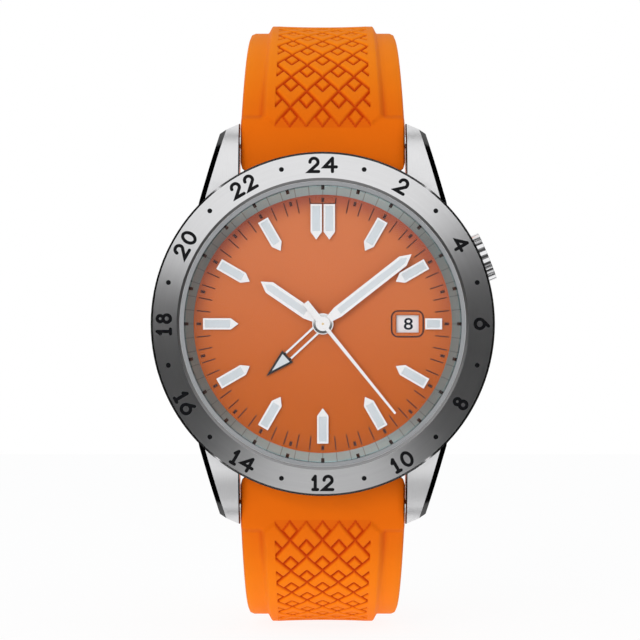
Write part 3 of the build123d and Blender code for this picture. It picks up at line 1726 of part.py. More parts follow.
def strap_body(legs, side):
    """Band of the strap from the lug tip to its end."""
    curved = sum(length for length, turn in legs[:-1])
    with BuildPart() as band:
        sections = []
        for distance in strap_stations(legs):
            step_share = min(1, distance / step_length)
            step_share = max(step_share, first_step_share)
            with BuildSketch(strap_plane(legs, distance, side)) as section:
                with BuildLine():
                    Polyline(*strap_section(min(1, distance / curved), step_share), close=True)
                make_face()
            sections.append(section.sketch)
        loft(sections=sections, ruled=True)
    return band.part


def strap_end_block(side):
    """Thick end that fills the space between the lugs up to the case."""
    slope = math.tan(math.radians(strap_start_degrees))
    inner_z = lug_inner_z
    top_depth = strap_start_depth - (strap_start_z - inner_z) * slope
    foot = Vector(strap_start_z, strap_start_depth) + Vector(
        -math.sin(math.radians(strap_start_degrees)), math.cos(math.radians(strap_start_degrees))
    ) * strap_block_thickness
    foot_depth = foot.Y - (foot.X - inner_z) * slope
    with BuildPart() as block:
        with BuildSketch(side_plane.offset(-strap_half_width)):
            with BuildLine():
                Polyline(
                    (side * inner_z, -top_depth),
                    (side * strap_start_z, -strap_start_depth),
                    (side * foot.X, -foot.Y),
                    (side * inner_z, -foot_depth),
                    close=True,
                )
            make_face()
        extrude(amount=2 * strap_half_width)
        with BuildSketch(face_plane(-overrun)):
            Circle(strap_end_radius)
        extrude(amount=shoulder_height + 2 * overrun, mode=Mode.SUBTRACT)
        corners = block.edges().filter_by(Axis.Y)
        if side > 0:
            corners = corners.group_by(Axis.Z)[0]
        else:
            corners = corners.group_by(Axis.Z)[-1]
        fillet(corners, strap_end_corner)
    return block.part


def bar_bore(side):
    """Bore for the spring bar."""
    with BuildSketch(side_plane.offset(-lug_inner_half_width)) as section:
        with Locations((side * bar_z, bar_height)):
            Circle(strap_bore_radius)
    extrude(section.sketch, amount=2 * lug_inner_half_width, mode=Mode.SUBTRACT)


upper_legs = strap_legs(upper_arc_radius, upper_straight)
lower_legs = strap_legs(lower_arc_radius, lower_straight)
upper_total = sum(length for length, turn in upper_legs)
lower_total = sum(length for length, turn in lower_legs)
upper_end_z, upper_end_depth, _ = walk(upper_legs, upper_total)
lower_end_z, lower_end_depth, _ = walk(lower_legs, lower_total)
buckle_bar_z = upper_end_z
buckle_bar_depth = upper_end_depth - end_thickness / 2
print("upper strap length", round(upper_total + strap_start_z - bar_z, 1))
print("lower strap length", round(lower_total + strap_start_z - bar_z, 1))
print("buckle bar at depth", round(buckle_bar_depth, 3), "z", round(buckle_bar_z, 3))

upper_block = strap_end_block(1)
upper_band = strap_body(upper_legs, 1)
with BuildPart() as strap_upper:
    add(upper_block)
    add(upper_band)
    with BuildSketch(side_plane.offset(-end_half_width)):
        with Locations((buckle_bar_z, -buckle_bar_depth)):
            Circle(end_thickness / 2)
    extrude(amount=2 * end_half_width)
    with BuildSketch(side_plane.offset(-strap_half_width)):
        with Locations((buckle_bar_z, -buckle_bar_depth)):
            Circle(buckle_bore_radius)
    extrude(amount=2 * strap_half_width, mode=Mode.SUBTRACT)
    with BuildSketch(side_plane.offset(-tang_slot_width / 2)):
        with Locations((buckle_bar_z, -buckle_bar_depth)):
            Rectangle(2 * tang_slot_depth, 2 * end_thickness)
    extrude(amount=tang_slot_width, mode=Mode.SUBTRACT)
    bar_bore(1)
finish(strap_upper, "strap_upper")

lower_block = strap_end_block(-1)
lower_band = strap_body(lower_legs, -1)
with BuildPart() as strap_lower:
    add(lower_block)
    add(lower_band)
    with BuildSketch(face_plane(-lower_end_depth - overrun)):
        with Locations((0, -lower_end_z)):
            Rectangle(2 * strap_half_width, 2 * tip_round_radius)
        with Locations((0, -lower_end_z - tip_round_radius)):
            Circle(end_half_width, mode=Mode.SUBTRACT)
    extrude(amount=end_thickness + 2 * overrun, mode=Mode.SUBTRACT)
    with BuildSketch(face_plane(-lower_end_depth - overrun)):
        for index in range(strap_hole_count):
            hole_z = -lower_end_z - strap_hole_first - index * strap_hole_pitch
            with Locations((0, hole_z)):
                SlotOverall(strap_hole_length, strap_hole_width, rotation=90)
    extrude(amount=2 * end_thickness + 2 * overrun, mode=Mode.SUBTRACT)
    bar_bore(-1)
finish(strap_lower, "strap_lower")

# Pin buckle
frame_front_z = buckle_bar_z - frame_length
with BuildPart() as buckle_frame:
    with BuildSketch(face_plane(-buckle_bar_depth - frame_thickness / 2)):
        with Locations((0, buckle_bar_z + frame_back_reach - (frame_length + frame_back_reach) / 2)):
            RectangleRounded(
                2 * frame_outer_half_width, frame_length + frame_back_reach, frame_corner_radius
            )
        opening_top = buckle_bar_z + frame_back_reach + overrun
        opening_bottom = frame_front_z + frame_cross_width
        with Locations((0, (opening_top + opening_bottom) / 2)):
            Rectangle(
                2 * frame_inner_half_width, opening_top - opening_bottom, mode=Mode.SUBTRACT
            )
    extrude(amount=frame_thickness)
    edge_round = 0.5
    long_edges = buckle_frame.edges().filter_by(Axis.X).group_by(Axis.Z)[0]
    chamfer(long_edges, edge_round)
    with BuildSketch(side_plane.offset(-frame_outer_half_width + edge_round)):
        with Locations((buckle_bar_z, -buckle_bar_depth)):
            Circle(buckle_bar_radius)
    extrude(amount=2 * (frame_outer_half_width - edge_round), mode=Mode.SUBTRACT)
finish(buckle_frame, "buckle_frame")

with BuildPart() as buckle_spring_bar:
    with BuildSketch(side_plane.offset(-frame_outer_half_width + edge_round)):
        with Locations((buckle_bar_z, -buckle_bar_depth)):
            Circle(buckle_bar_radius)
    extrude(amount=2 * (frame_outer_half_width - edge_round))
finish(buckle_spring_bar, "buckle_spring_bar")

tang_bottom = -buckle_bar_depth - frame_thickness / 2 - tang_rise
with BuildPart() as buckle_tang:
    with BuildSketch(side_plane.offset(-tang_width / 2)):
        with Locations((buckle_bar_z, -buckle_bar_depth)):
            Circle(tang_ring_radius)
        with BuildLine():
            Polyline(
                (buckle_bar_z, -buckle_bar_depth),
                (buckle_bar_z, -buckle_bar_depth - tang_ring_radius),
                (buckle_bar_z - tang_ring_radius, tang_bottom - tang_thickness),
                (frame_front_z - tang_overhang, tang_bottom - tang_thickness / 2),
                (frame_front_z - tang_overhang, tang_bottom),
                (buckle_bar_z - tang_ring_radius, tang_bottom),
                close=True,
            )
        make_face()
        with Locations((buckle_bar_z, -buckle_bar_depth)):
            Circle(buckle_bore_radius, mode=Mode.SUBTRACT)
    extrude(amount=tang_width)
finish(buckle_tang, "buckle_tang")

# Keepers


def keeper(start, inner_depth):
    """Rectangular loop round the strap with room for the other half's tail."""
    inner_half = end_half_width + keeper_side_gap
    outer_depth = upper_end_depth + keeper_tail_space
    height = outer_depth - inner_depth
    middle = (inner_depth + outer_depth) / 2
    keeper_plane = Plane(
        origin=(0, 0, buckle_bar_z + start), x_dir=(1, 0, 0), z_dir=(0, 0, 1)
    )
    with BuildPart() as band:
        with BuildSketch(keeper_plane):
            with Locations((0, middle)):
                RectangleRounded(
                    2 * (inner_half + keeper_wall), height + 2 * keeper_wall, keeper_wall
                )
                Rectangle(2 * inner_half, height, mode=Mode.SUBTRACT)
        extrude(amount=keeper_length)
    return band.part


strap_inner_depth = upper_end_depth - end_thickness
with BuildPart() as fixed_keeper:
    add(keeper(fixed_keeper_start, strap_inner_depth))
finish(fixed_keeper, "fixed_keeper")

with BuildPart() as free_keeper:
    add(keeper(free_keeper_start, strap_inner_depth - free_keeper_gap))
finish(free_keeper, "free_keeper")
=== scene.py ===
import math

import bmesh
import bpy
from mathutils import Matrix, Vector


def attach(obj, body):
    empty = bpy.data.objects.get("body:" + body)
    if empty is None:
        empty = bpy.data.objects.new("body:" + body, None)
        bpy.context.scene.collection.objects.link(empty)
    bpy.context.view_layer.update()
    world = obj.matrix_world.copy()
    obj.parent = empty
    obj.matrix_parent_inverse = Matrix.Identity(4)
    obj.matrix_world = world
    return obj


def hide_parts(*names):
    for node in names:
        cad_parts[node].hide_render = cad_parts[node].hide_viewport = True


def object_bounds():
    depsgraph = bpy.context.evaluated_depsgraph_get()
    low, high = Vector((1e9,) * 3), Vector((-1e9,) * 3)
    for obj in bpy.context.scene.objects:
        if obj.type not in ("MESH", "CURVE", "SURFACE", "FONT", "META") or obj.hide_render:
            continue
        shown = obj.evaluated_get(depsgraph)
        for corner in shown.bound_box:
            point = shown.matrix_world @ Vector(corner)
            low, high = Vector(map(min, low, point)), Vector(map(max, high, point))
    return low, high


bl_info = {
    "name": "Travel watch with a 24 hour bezel",
    "version": (1, 0, 0),
    "blender": (4, 5, 0),
    "location": "3D View > Sidebar > Watch",
    "description": "Dresses the watch in steel, orange dial paint and moulded rubber",
    "category": "Add Mesh",
}

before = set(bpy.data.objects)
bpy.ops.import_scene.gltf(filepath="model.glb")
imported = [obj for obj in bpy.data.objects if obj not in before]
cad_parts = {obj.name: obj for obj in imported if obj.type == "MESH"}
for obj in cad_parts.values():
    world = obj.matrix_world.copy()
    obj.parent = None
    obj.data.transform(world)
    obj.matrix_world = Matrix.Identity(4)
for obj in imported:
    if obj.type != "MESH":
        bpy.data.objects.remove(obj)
CAD_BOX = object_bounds()

MM = 0.001
# Turns a drawing of the dial, x to 3 o'clock, y to 12 and z to the reader, into the frame
DIAL = Matrix.Rotation(math.radians(90), 4, "X")
# Heights of the dial and of the date disc in such a drawing, on which the printing lies
DIAL_FACE = 7.2 * MM
DATE_FACE = 6.556 * MM
# The crown's axis, from 3 o'clock towards 12 and in front of the frame's origin, its radius
# and the distance from the dial's middle at which its dome begins
CROWN_ANGLE = math.radians(22.5)
CROWN_HEIGHT = 5.0 * MM
CROWN_RADIUS = 3.0 * MM
DOME_START = 21.45 * MM
# The bezel's slope lies between these radii, with a bevel inside it, whose colour is a painted
# dark reflection, and a rim outside it
SLOPE_START = 17.34 * MM
SLOPE_END = 20.24 * MM
# Hubs that lie on the minute hand and on the hour hand; a shadow is painted round each
SECONDS_HUB = 0.86 * MM
MINUTE_HUB = 1.0 * MM
# Sideways part of a face's normal: less on a lug's top, more on its flank, between on a bevel,
# whose colour is a painted dark reflection
TOP_LEAN = 0.3
FLANK_LEAN = 0.93


def srgb(red, green, blue):
    """Linear colour of an eight-bit screen colour."""
    linear = []
    for value in (red, green, blue):
        value /= 255
        linear.append(value / 12.92 if value <= 0.04045 else ((value + 0.055) / 1.055) ** 2.4)
    return (*linear, 1.0)


def clamp(value):
    """Value kept between 0 and 1."""
    return min(1, max(0, value))


def smooth(value):
    """Soft step from 0 to 1."""
    value = clamp(value)
    return value * value * (3 - 2 * value)


def ramp(value, start, span):
    """Soft step from 0 to 1 that begins at a start and takes a span."""
    return smooth((value - start) / span)


# ---------------------------------------------------------------- settings


def length(name, description, default):
    """A length in metres that the sidebar shows in scene units."""
    return bpy.props.FloatProperty(
        name=name, description=description, default=default, unit="LENGTH", precision=6
    )


def colour(name, description, default):
    """A colour that the sidebar shows as a swatch."""
    return bpy.props.FloatVectorProperty(
        name=name, description=description, default=default, size=4, subtype="COLOR",
        min=0, max=1,
    )


class WatchSizes(bpy.types.PropertyGroup):
    """Sizes of the printed and moulded detail."""

    print_thickness: length("Print thickness", "Height of the ink on the dial", 0.012 * MM)
    minute_inner: length("Minute line start", "Inner radius of the minute lines", 13.55 * MM)
    minute_outer: length("Minute line end", "Outer radius of the minute lines", 15.2 * MM)
    minute_width: length("Minute line width", "Width of one minute line", 0.14 * MM)
    block_inner: length("Block start", "Inner radius of the 24 hour blocks", 14.6 * MM)
    block_outer: length("Block end", "Outer radius of the 24 hour blocks", 15.15 * MM)
    block_width: length("Block width", "Width of one 24 hour block", 0.33 * MM)
    date_frame_width: length("Date frame width", "Printed frame, along the dial", 4.0 * MM)
    date_frame_height: length("Date frame height", "Printed frame, across it", 3.29 * MM)
    date_height: length("Date figure height", "Height of the date figures", 1.43 * MM)
    lattice_pitch: length("Lattice width", "Half the width of a diamond", 1.985 * MM)
    lattice_rise: length("Lattice rise", "Length of the lattice's first row", 2.98 * MM)
    lattice_loss: length("Lattice loss", "How much shorter each next row is", 0.14 * MM)
    lattice_depth: length("Groove depth", "Depth of the strap's grooves", 0.36 * MM)
    groove_half: length("Groove half width", "Half the width of a groove", 0.3 * MM)
    mesh_step: length("Mesh step", "Spacing of the strap's mesh on the lattice", 0.12 * MM)


class WatchColours(bpy.types.PropertyGroup):
    """Colours of the finishes."""

    # The dial lightens from the lower colour to the upper one, which holds a painted highlight
    dial_top: colour("Dial, upper", "Dial paint at 12 o'clock", srgb(218, 126, 80))
    dial_low: colour("Dial, lower", "Dial paint at 6 o'clock", srgb(203, 98, 18))
    ink: colour("Ink", "Printing on the dial", srgb(72, 34, 30))
    ring: colour("Dial ring", "Sloped ring round the dial", srgb(136, 160, 162))
    rubber: colour("Rubber", "Strap rubber beside the case", srgb(216, 99, 0))
    # The colour on the bend holds painted light
    rubber_far: colour("Rubber, far", "Strap rubber on the bend", srgb(244, 132, 4))
    # The colour in the grooves holds painted shade
    rubber_deep: colour("Rubber, grooves", "Strap rubber in its grooves", srgb(192, 62, 0))
    steel: colour("Steel", "Case and bezel", (0.79, 0.79, 0.8, 1))
    lume: colour("Lume", "Luminous paint", srgb(216, 226, 232))
    date_card: colour("Date disc", "Enamel of the date disc", srgb(240, 240, 244))
    fill: colour("Bezel fill", "Lacquer in the bezel's numerals", (0.006, 0.006, 0.007, 1))


# ---------------------------------------------------------------- materials


class Line:
    """A shader socket that Python's operators work on."""

    def __init__(self, nodes, socket):
        self.nodes = nodes
        self.socket = socket

    def maths(self, operation, *others):
        """A maths node whose first value is this socket."""
        values = dict(enumerate((self, *others)))
        return self.nodes.node("ShaderNodeMath", {"operation": operation}, values)

    def __add__(self, other):
        return self.maths("ADD", other)

    def __sub__(self, other):
        return self.maths("SUBTRACT", other)

    def __mul__(self, other):
        return self.maths("MULTIPLY", other)

    def __truediv__(self, other):
        return self.maths("DIVIDE", other)

    def __rsub__(self, other):
        return self.nodes.node("ShaderNodeMath", {"operation": "SUBTRACT"}, {0: other, 1: self})

    __radd__ = __add__

    def above(self, edge):
        return self.maths("GREATER_THAN", edge)

    def below(self, edge):
        return self.maths("LESS_THAN", edge)

    def band(self, low, high, out_low=0.0, out_high=1.0):
        """Soft change from one value to another between two edges."""
        return self.nodes.node(
            "ShaderNodeMapRange", {"interpolation_type": "SMOOTHSTEP"},
            {0: self, 1: low, 2: high, 3: out_low, 4: out_high},
        )


class Nodes:
    """Node tree of a material or a world, emptied and then built up."""

    def __init__(self, owner):
        owner.use_nodes = True
        self.tree = owner.node_tree
        self.tree.nodes.clear()

    def feed(self, socket, value):
        """Gives a socket a value, or another socket to follow."""
        if isinstance(value, Line):
            self.tree.links.new(value.socket, socket)
        else:
            socket.default_value = value

    def node(self, kind, settings=None, values=None, output=0):
        """A new node's output, with its settings by name and its inputs by name or number."""
        new = self.tree.nodes.new(kind)
        for name, value in (settings or {}).items():
            setattr(new, name, value)
        for key, value in (values or {}).items():
            self.feed(new.inputs[key], value)
        return Line(self, new.outputs[output])

    def ray(self, kind):
        """1 for a ray of this kind, 0 for any other."""
        return self.node("ShaderNodeLightPath", output=kind)

    def show(self, kind, shader):
        """Gives a shader to a new output node, and returns that node."""
        output = self.tree.nodes.new(kind)
        self.feed(output.inputs[0], shader)
        return output


class Paint(Nodes):
    """A material under construction round one Principled shader."""

    def __init__(self, name, **constants):
        self.material = bpy.data.materials.new(name)
        super().__init__(self.material)
        self.shader = self.tree.nodes.new("ShaderNodeBsdfPrincipled")
        self.surface = Line(self, self.shader.outputs[0])
        self.output = self.show("ShaderNodeOutputMaterial", self.surface)
        self.set(**constants)

    def set(self, **values):
        """Sets the shader's sockets, by their names with _ for a space."""
        for name, value in values.items():
            self.feed(self.shader.inputs[name.replace("_", " ")], value)

    def finish(self, colour, roughness, normal, **others):
        """Sets the sockets that every finish uses and hands over the material."""
        self.set(Base_Color=colour, Roughness=roughness, Normal=normal, **others)
        return self.material

    def place(self):
        """The piece's own coordinates."""
        return self.node("ShaderNodeTexCoord", output=3)

    def axes(self, vector):
        """A vector's x, y and z."""
        split = self.tree.nodes.new("ShaderNodeSeparateXYZ")
        self.tree.links.new(vector.socket, split.inputs[0])
        return [Line(self, output) for output in split.outputs]

    def place_and_axes(self):
        """The piece's own coordinates, whole and as x, y and z."""
        place = self.place()
        return place, *self.axes(place)

    def vector(self, x, y, z):
        return self.node("ShaderNodeCombineXYZ", values={0: x, 1: y, 2: z})

    def noise(self, vector, scale, detail=2.0, rough=0.5):
        """Cloudy pattern from 0 to 1."""
        return self.node(
            "ShaderNodeTexNoise", values={"Vector": vector, "Scale": scale, "Detail": detail,
                                          "Roughness": rough},
        )

    def mix(self, share, first, second):
        """Colour between two others."""
        return self.node(
            "ShaderNodeMix", {"data_type": "RGBA"}, {0: share, 6: first, 7: second}, output=2
        )

    def vary(self, share, tone, low, high):
        """A tone between a darker and a lighter shade of itself."""
        return self.mix(share, shade(tone, low), shade(tone, high))

    def bump(self, height, strength, distance):
        """Normal of a slightly uneven surface."""
        return self.node(
            "ShaderNodeBump", values={"Strength": strength, "Distance": distance,
                                      "Height": height},
        )

    def handling_marks(self, place):
        """Fine marks that polished metal gets from touch, and the normal that they give."""
        marks = self.noise(place, 6500.0, 4.0, 0.65)
        return marks, self.bump(marks, 0.04, 0.004 * MM)


def shade(tone, factor):
    """A colour made lighter or darker."""
    return (*(min(1, part * factor) for part in tone[:3]), 1.0)


def from_axis(first, second):
    """Distance from an axis, out of the two coordinates across it."""
    return (first * first + second * second).maths("SQRT")


def turned_steel(name, tone):
    """Steel brushed in circles on the bezel's slope, polished on its edges, with a painted dark
    reflection on its inner bevel.
    """
    paint = Paint(name, Metallic=1.0)
    x, _, z = paint.axes(paint.place())
    radius = from_axis(x, z)
    angle = x.maths("ARCTAN2", z)
    bevel = radius.below(SLOPE_START)
    slope = (1 - bevel) * radius.below(SLOPE_END)
    rings = paint.noise(paint.vector(radius * 26000, angle * 2.2, 0), 1.0, 3.0, 0.6)
    wide = paint.noise(paint.vector(radius * 2600, angle * 1.2, 0), 1.0, 2.0)
    brushed = paint.vary(rings * 0.6 + wide * 0.4, tone, 0.84, 1.08)
    # The inner bevel's colour is darkened as a painted dark reflection
    return paint.finish(
        paint.mix(bevel, brushed, shade(tone, 0.42)),
        slope * (0.27 + rings * 0.16) + bevel * 0.38 + (1 - slope) * 0.1,
        paint.bump(rings * slope, 0.14, 0.01 * MM),
    )


def lug_steel(name, tone):
    """Case steel with a straight grain on top and polished facets along the lugs, painted nearly
    black as a painted dark reflection.
    """
    paint = Paint(name, Metallic=1.0)
    place, x, y, z = paint.place_and_axes()
    normal = paint.node("ShaderNodeNewGeometry", output=1)
    side, front, _ = paint.axes(normal)
    lean = side.maths("ABSOLUTE")
    facet_painted_dark = lean.above(TOP_LEAN) * lean.below(FLANK_LEAN) * front.below(-0.2)
    top = lean.below(TOP_LEAN)
    grain = paint.noise(paint.vector(x * 22000, y * 2500, z * 420), 1.0, 3.0, 0.6)
    soft = paint.noise(place, 260.0, 2.0)
    worn = paint.noise(place, 5200.0, 3.0)
    grained = paint.vary(grain * top * 0.7 + soft * 0.3, tone, 0.86, 1.1)
    polished = 0.15 + worn * 0.05 - facet_painted_dark * 0.08
    return paint.finish(
        # The facets' colour is nearly black, a painted dark reflection
        paint.mix(facet_painted_dark, grained, shade(tone, 0.05)),
        top * (0.25 + grain * 0.15) + (1 - top) * polished,
        paint.bump(grain * top, 0.16, 0.012 * MM),
    )


def polished_steel(name, tone, roughness=0.1):
    """Polished steel with faint handling marks."""
    paint = Paint(name, Metallic=1.0)
    place = paint.place()
    cloud = paint.noise(place, 180.0, 3.0)
    marks, uneven = paint.handling_marks(place)
    return paint.finish(
        paint.vary(cloud, tone, 0.93, 1.05), roughness + marks * 0.08, uneven
    )


def hand_steel(name, tone, hub):
    """Silvered hand with a painted shadow in a thin ring round the hub of the hand above it,
    strongest below that hub.
    """
    paint = Paint(name, Metallic=1.0)
    place, x, _, z = paint.place_and_axes()
    radius = from_axis(x, z)
    # Painted shadow in a thin ring just outside the hub above, strongest on the lower side
    line = radius.above(hub) * radius.band(hub + 0.08 * MM, hub + 0.24 * MM, 1.0, 0.0)
    lower = z.band(-0.5 * MM, 0.7 * MM, 1.0, 0.15)
    marks, uneven = paint.handling_marks(place)
    silver = paint.vary(marks, tone, 0.96, 1.04)
    return paint.finish(
        paint.mix(line * lower, silver, shade(tone, 0.1)), 0.22 + marks * 0.08, uneven
    )


def plated(name, tone, roughness, grain_scale):
    """Plated or turned metal with a fine grain."""
    paint = Paint(name, Metallic=1.0)
    grain = paint.noise(paint.place(), grain_scale, 4.0, 0.6)
    return paint.finish(
        paint.vary(grain, tone, 0.85, 1.12),
        roughness + grain * 0.14,
        paint.bump(grain, 0.06, 0.006 * MM),
    )


def striped_plate(name, tone):
    """Rhodium plate with broad ruled stripes on the bridges."""
    paint = Paint(name, Metallic=1.0)
    x, y, z = paint.axes(paint.place())
    stripe = (x * 3000).maths("SINE") * 0.5 + 0.5
    grain = paint.noise(paint.vector(x * 600, y * 600, z * 9000), 1.0, 3.0)
    return paint.finish(
        paint.vary(stripe, tone, 0.82, 1.05),
        0.2 + grain * 0.16 + stripe * 0.06,
        paint.bump(stripe * 0.7 + grain * 0.3, 0.12, 0.02 * MM),
    )


def dial_paint(name, upper, lower):
    """Orange dial lacquer with a fine metallic grain, a painted highlight that makes it lighter
    and glossier towards 12 o'clock, and painted shade under the ring's edge, darkest at the top.
    """
    paint = Paint(name, Metallic=0.1, Specular_IOR_Level=0.1, Coat_Roughness=0.12, Coat_IOR=1.5)
    place, x, _, z = paint.place_and_axes()
    # Painted highlight: lighter, glossier lacquer towards 12 o'clock
    painted_top_light = z.band(-13.5 * MM, 13.5 * MM)
    # Painted shade: a dark reddish band under the ring's edge, darkest at the top
    rim = from_axis(x, z).band(12.8 * MM, 15.7 * MM, 0.0, 0.7)
    rim = rim * z.band(-4 * MM, 12 * MM, 0.15, 1.0)
    grain = paint.noise(place, 9000.0, 3.0, 0.6)
    lacquer = paint.mix(painted_top_light, lower, upper)
    speck = paint.mix(grain, shade(lower, 0.88), shade(upper, 1.06))
    body = paint.mix(0.16, lacquer, speck)
    return paint.finish(
        paint.mix(rim, body, srgb(150, 66, 66)),
        0.42 + grain * 0.1,
        paint.bump(grain, 0.05, 0.004 * MM),
        Coat_Weight=0.03 + painted_top_light * 0.04,
    )


def ring_paint(name, tone, ink):
    """Grey ring round the dial, a faint line for each minute and a dash every quarter hour, with
    painted light making it lighter towards 12 and 6 o'clock.
    """
    paint = Paint(name, Specular_IOR_Level=0.3)
    place, x, _, z = paint.place_and_axes()
    turn = x.maths("ARCTAN2", z) / math.tau
    line = ((turn * 60).maths("FRACT") - 0.5).maths("ABSOLUTE").above(0.47)
    dash = ((turn * 24).maths("FRACT") - 0.5).maths("ABSOLUTE").above(0.455)
    dash = dash * from_axis(x, z).above(16.06 * MM)
    # Painted light: the ring is lighter towards 12 and 6 o'clock
    light = z.maths("ABSOLUTE").band(9.5 * MM, 16 * MM)
    grain = paint.noise(place, 4600.0, 3.0)
    painted_light_tone = paint.mix(light, tone, shade(tone, 2.3))
    plain = paint.mix(grain * 0.2, painted_light_tone, shade(tone, 0.6))
    lined = paint.mix(line * 0.45, plain, shade(tone, 0.06))
    return paint.finish(
        paint.mix(dash, lined, ink), 0.36 + grain * 0.14, paint.bump(grain, 0.05, 0.004 * MM)
    )


def crown_steel(name, tone):
    """Polished crown with painted shade in its flutes and a thin dark line where its dome begins.
    """
    paint = Paint(name, Metallic=1.0)
    place, x, y, z = paint.place_and_axes()
    along = x * math.cos(CROWN_ANGLE) + z * math.sin(CROWN_ANGLE)
    across = z * math.cos(CROWN_ANGLE) - x * math.sin(CROWN_ANGLE)
    radius = from_axis(across, y + CROWN_HEIGHT)
    # Painted shade darkens the flutes
    flute_shade = radius.band(CROWN_RADIUS - 0.2 * MM, CROWN_RADIUS - 0.02 * MM, 1.0, 0.0)
    flute_shade = flute_shade * along.below(DOME_START)
    seam = along.band(DOME_START - 0.05 * MM, DOME_START + 0.02 * MM)
    seam = seam * along.below(DOME_START + 0.12 * MM)
    marks, uneven = paint.handling_marks(place)
    bright = paint.vary(marks, tone, 0.96, 1.06)
    return paint.finish(
        paint.mix(flute_shade.maths("MAXIMUM", seam), bright, shade(tone, 0.06)),
        0.12 + marks * 0.08,
        uneven,
    )


def enamel(name, tone, roughness, shine=0.5):
    """Even paint or ink with a trace of texture."""
    paint = Paint(name, Specular_IOR_Level=shine)
    place = paint.place()
    grain = paint.noise(place, 5200.0, 3.0, 0.6)
    cloud = paint.noise(place, 420.0, 2.0)
    return paint.finish(
        paint.vary(grain * 0.5 + cloud * 0.5, tone, 0.92, 1.08),
        roughness + grain * 0.12,
        paint.bump(grain, 0.06, 0.005 * MM),
    )


def lume_paint(name, tone):
    """Luminous paint by day, slightly grainy."""
    paint = Paint(name)
    place = paint.place()
    grain = paint.noise(place, 7000.0, 4.0, 0.7)
    cloud = paint.noise(place, 900.0, 2.0)
    return paint.finish(
        paint.vary(grain * 0.6 + cloud * 0.4, tone, 0.93, 1.05),
        0.55 + grain * 0.15,
        paint.bump(grain, 0.12, 0.01 * MM),
    )


def travel_hand(name, tone, dark):
    """Silvered rails near the hub and a blackened arrow at the tip."""
    paint = Paint(name)
    place, x, _, z = paint.place_and_axes()
    arrow = from_axis(x, z).above(5.62 * MM)
    grain = paint.noise(place, 6000.0, 3.0)
    silver = paint.vary(grain, tone, 0.94, 1.04)
    black = paint.vary(grain, dark, 1.0, 1.8)
    return paint.finish(
        paint.mix(arrow, silver, black),
        0.2 + grain * 0.1 + arrow * 0.15,
        paint.bump(grain, 0.05, 0.004 * MM),
        Metallic=1 - arrow * 0.9,
    )


def moulded_rubber(name, tone, far, groove_shade_tone):
    """Matt moulded rubber, lighter on the bend from painted light and darker in its grooves and
    creases from painted shade.
    """
    paint = Paint(name, IOR=1.45, Specular_IOR_Level=0.13)
    place, _, _, z = paint.place_and_axes()
    # Painted light: the rubber is lighter on the bend, away from the case
    bend = z.maths("ABSOLUTE").band(23 * MM, 36 * MM)
    # The groove attribute darkens the rubber with painted shade in grooves and creases
    groove = paint.node(
        "ShaderNodeAttribute", {"attribute_name": "groove", "attribute_type": "GEOMETRY"},
        output=2,
    )
    grain = paint.noise(place, 8200.0, 4.0, 0.6)
    cloud = paint.noise(place, 240.0, 3.0)
    low = paint.mix(bend, shade(tone, 0.95), shade(far, 0.95))
    high = paint.mix(bend, shade(tone, 1.04), shade(far, 1.04))
    base = paint.mix(cloud, low, high)
    return paint.finish(
        paint.mix(groove.band(0.1, 0.95), base, groove_shade_tone),
        0.58 + grain * 0.12 + cloud * 0.06,
        paint.bump(grain + cloud * 0.3, 0.1, 0.012 * MM),
    )


def clear_crystal(name):
    """Sapphire, clear in front and brighter where it is seen along its surface."""
    paint = Paint(name, Base_Color=(1, 1, 1, 1), Metallic=1.0)
    edge = paint.node("ShaderNodeFresnel", values={"IOR": 1.62})
    film = paint.noise(paint.place(), 130.0, 2.0)
    paint.set(Roughness=0.02 + film * 0.015, Alpha=(edge - 0.05) * 0.7 + 0.003)
    return paint.material


def gasket_rubber(name, tone, roughness):
    """Soft seal, clear or black, with mould grain."""
    paint = Paint(name, IOR=1.45)
    place = paint.place()
    grain = paint.noise(place, 4200.0, 3.0)
    cloud = paint.noise(place, 300.0, 2.0)
    return paint.finish(
        paint.vary(cloud, tone, 0.9, 1.06),
        roughness + grain * 0.1,
        paint.bump(grain, 0.08, 0.01 * MM),
    )


def ruby(name):
    """Synthetic ruby bearings."""
    paint = Paint(name, IOR=1.76)
    cloud = paint.noise(paint.place(), 2500.0, 2.0)
    paint.set(
        Base_Color=paint.mix(cloud, (0.28, 0.003, 0.03, 1), (0.62, 0.02, 0.1, 1)),
        Roughness=0.06 + cloud * 0.08,
    )
    return paint.material


PAINTS = {}


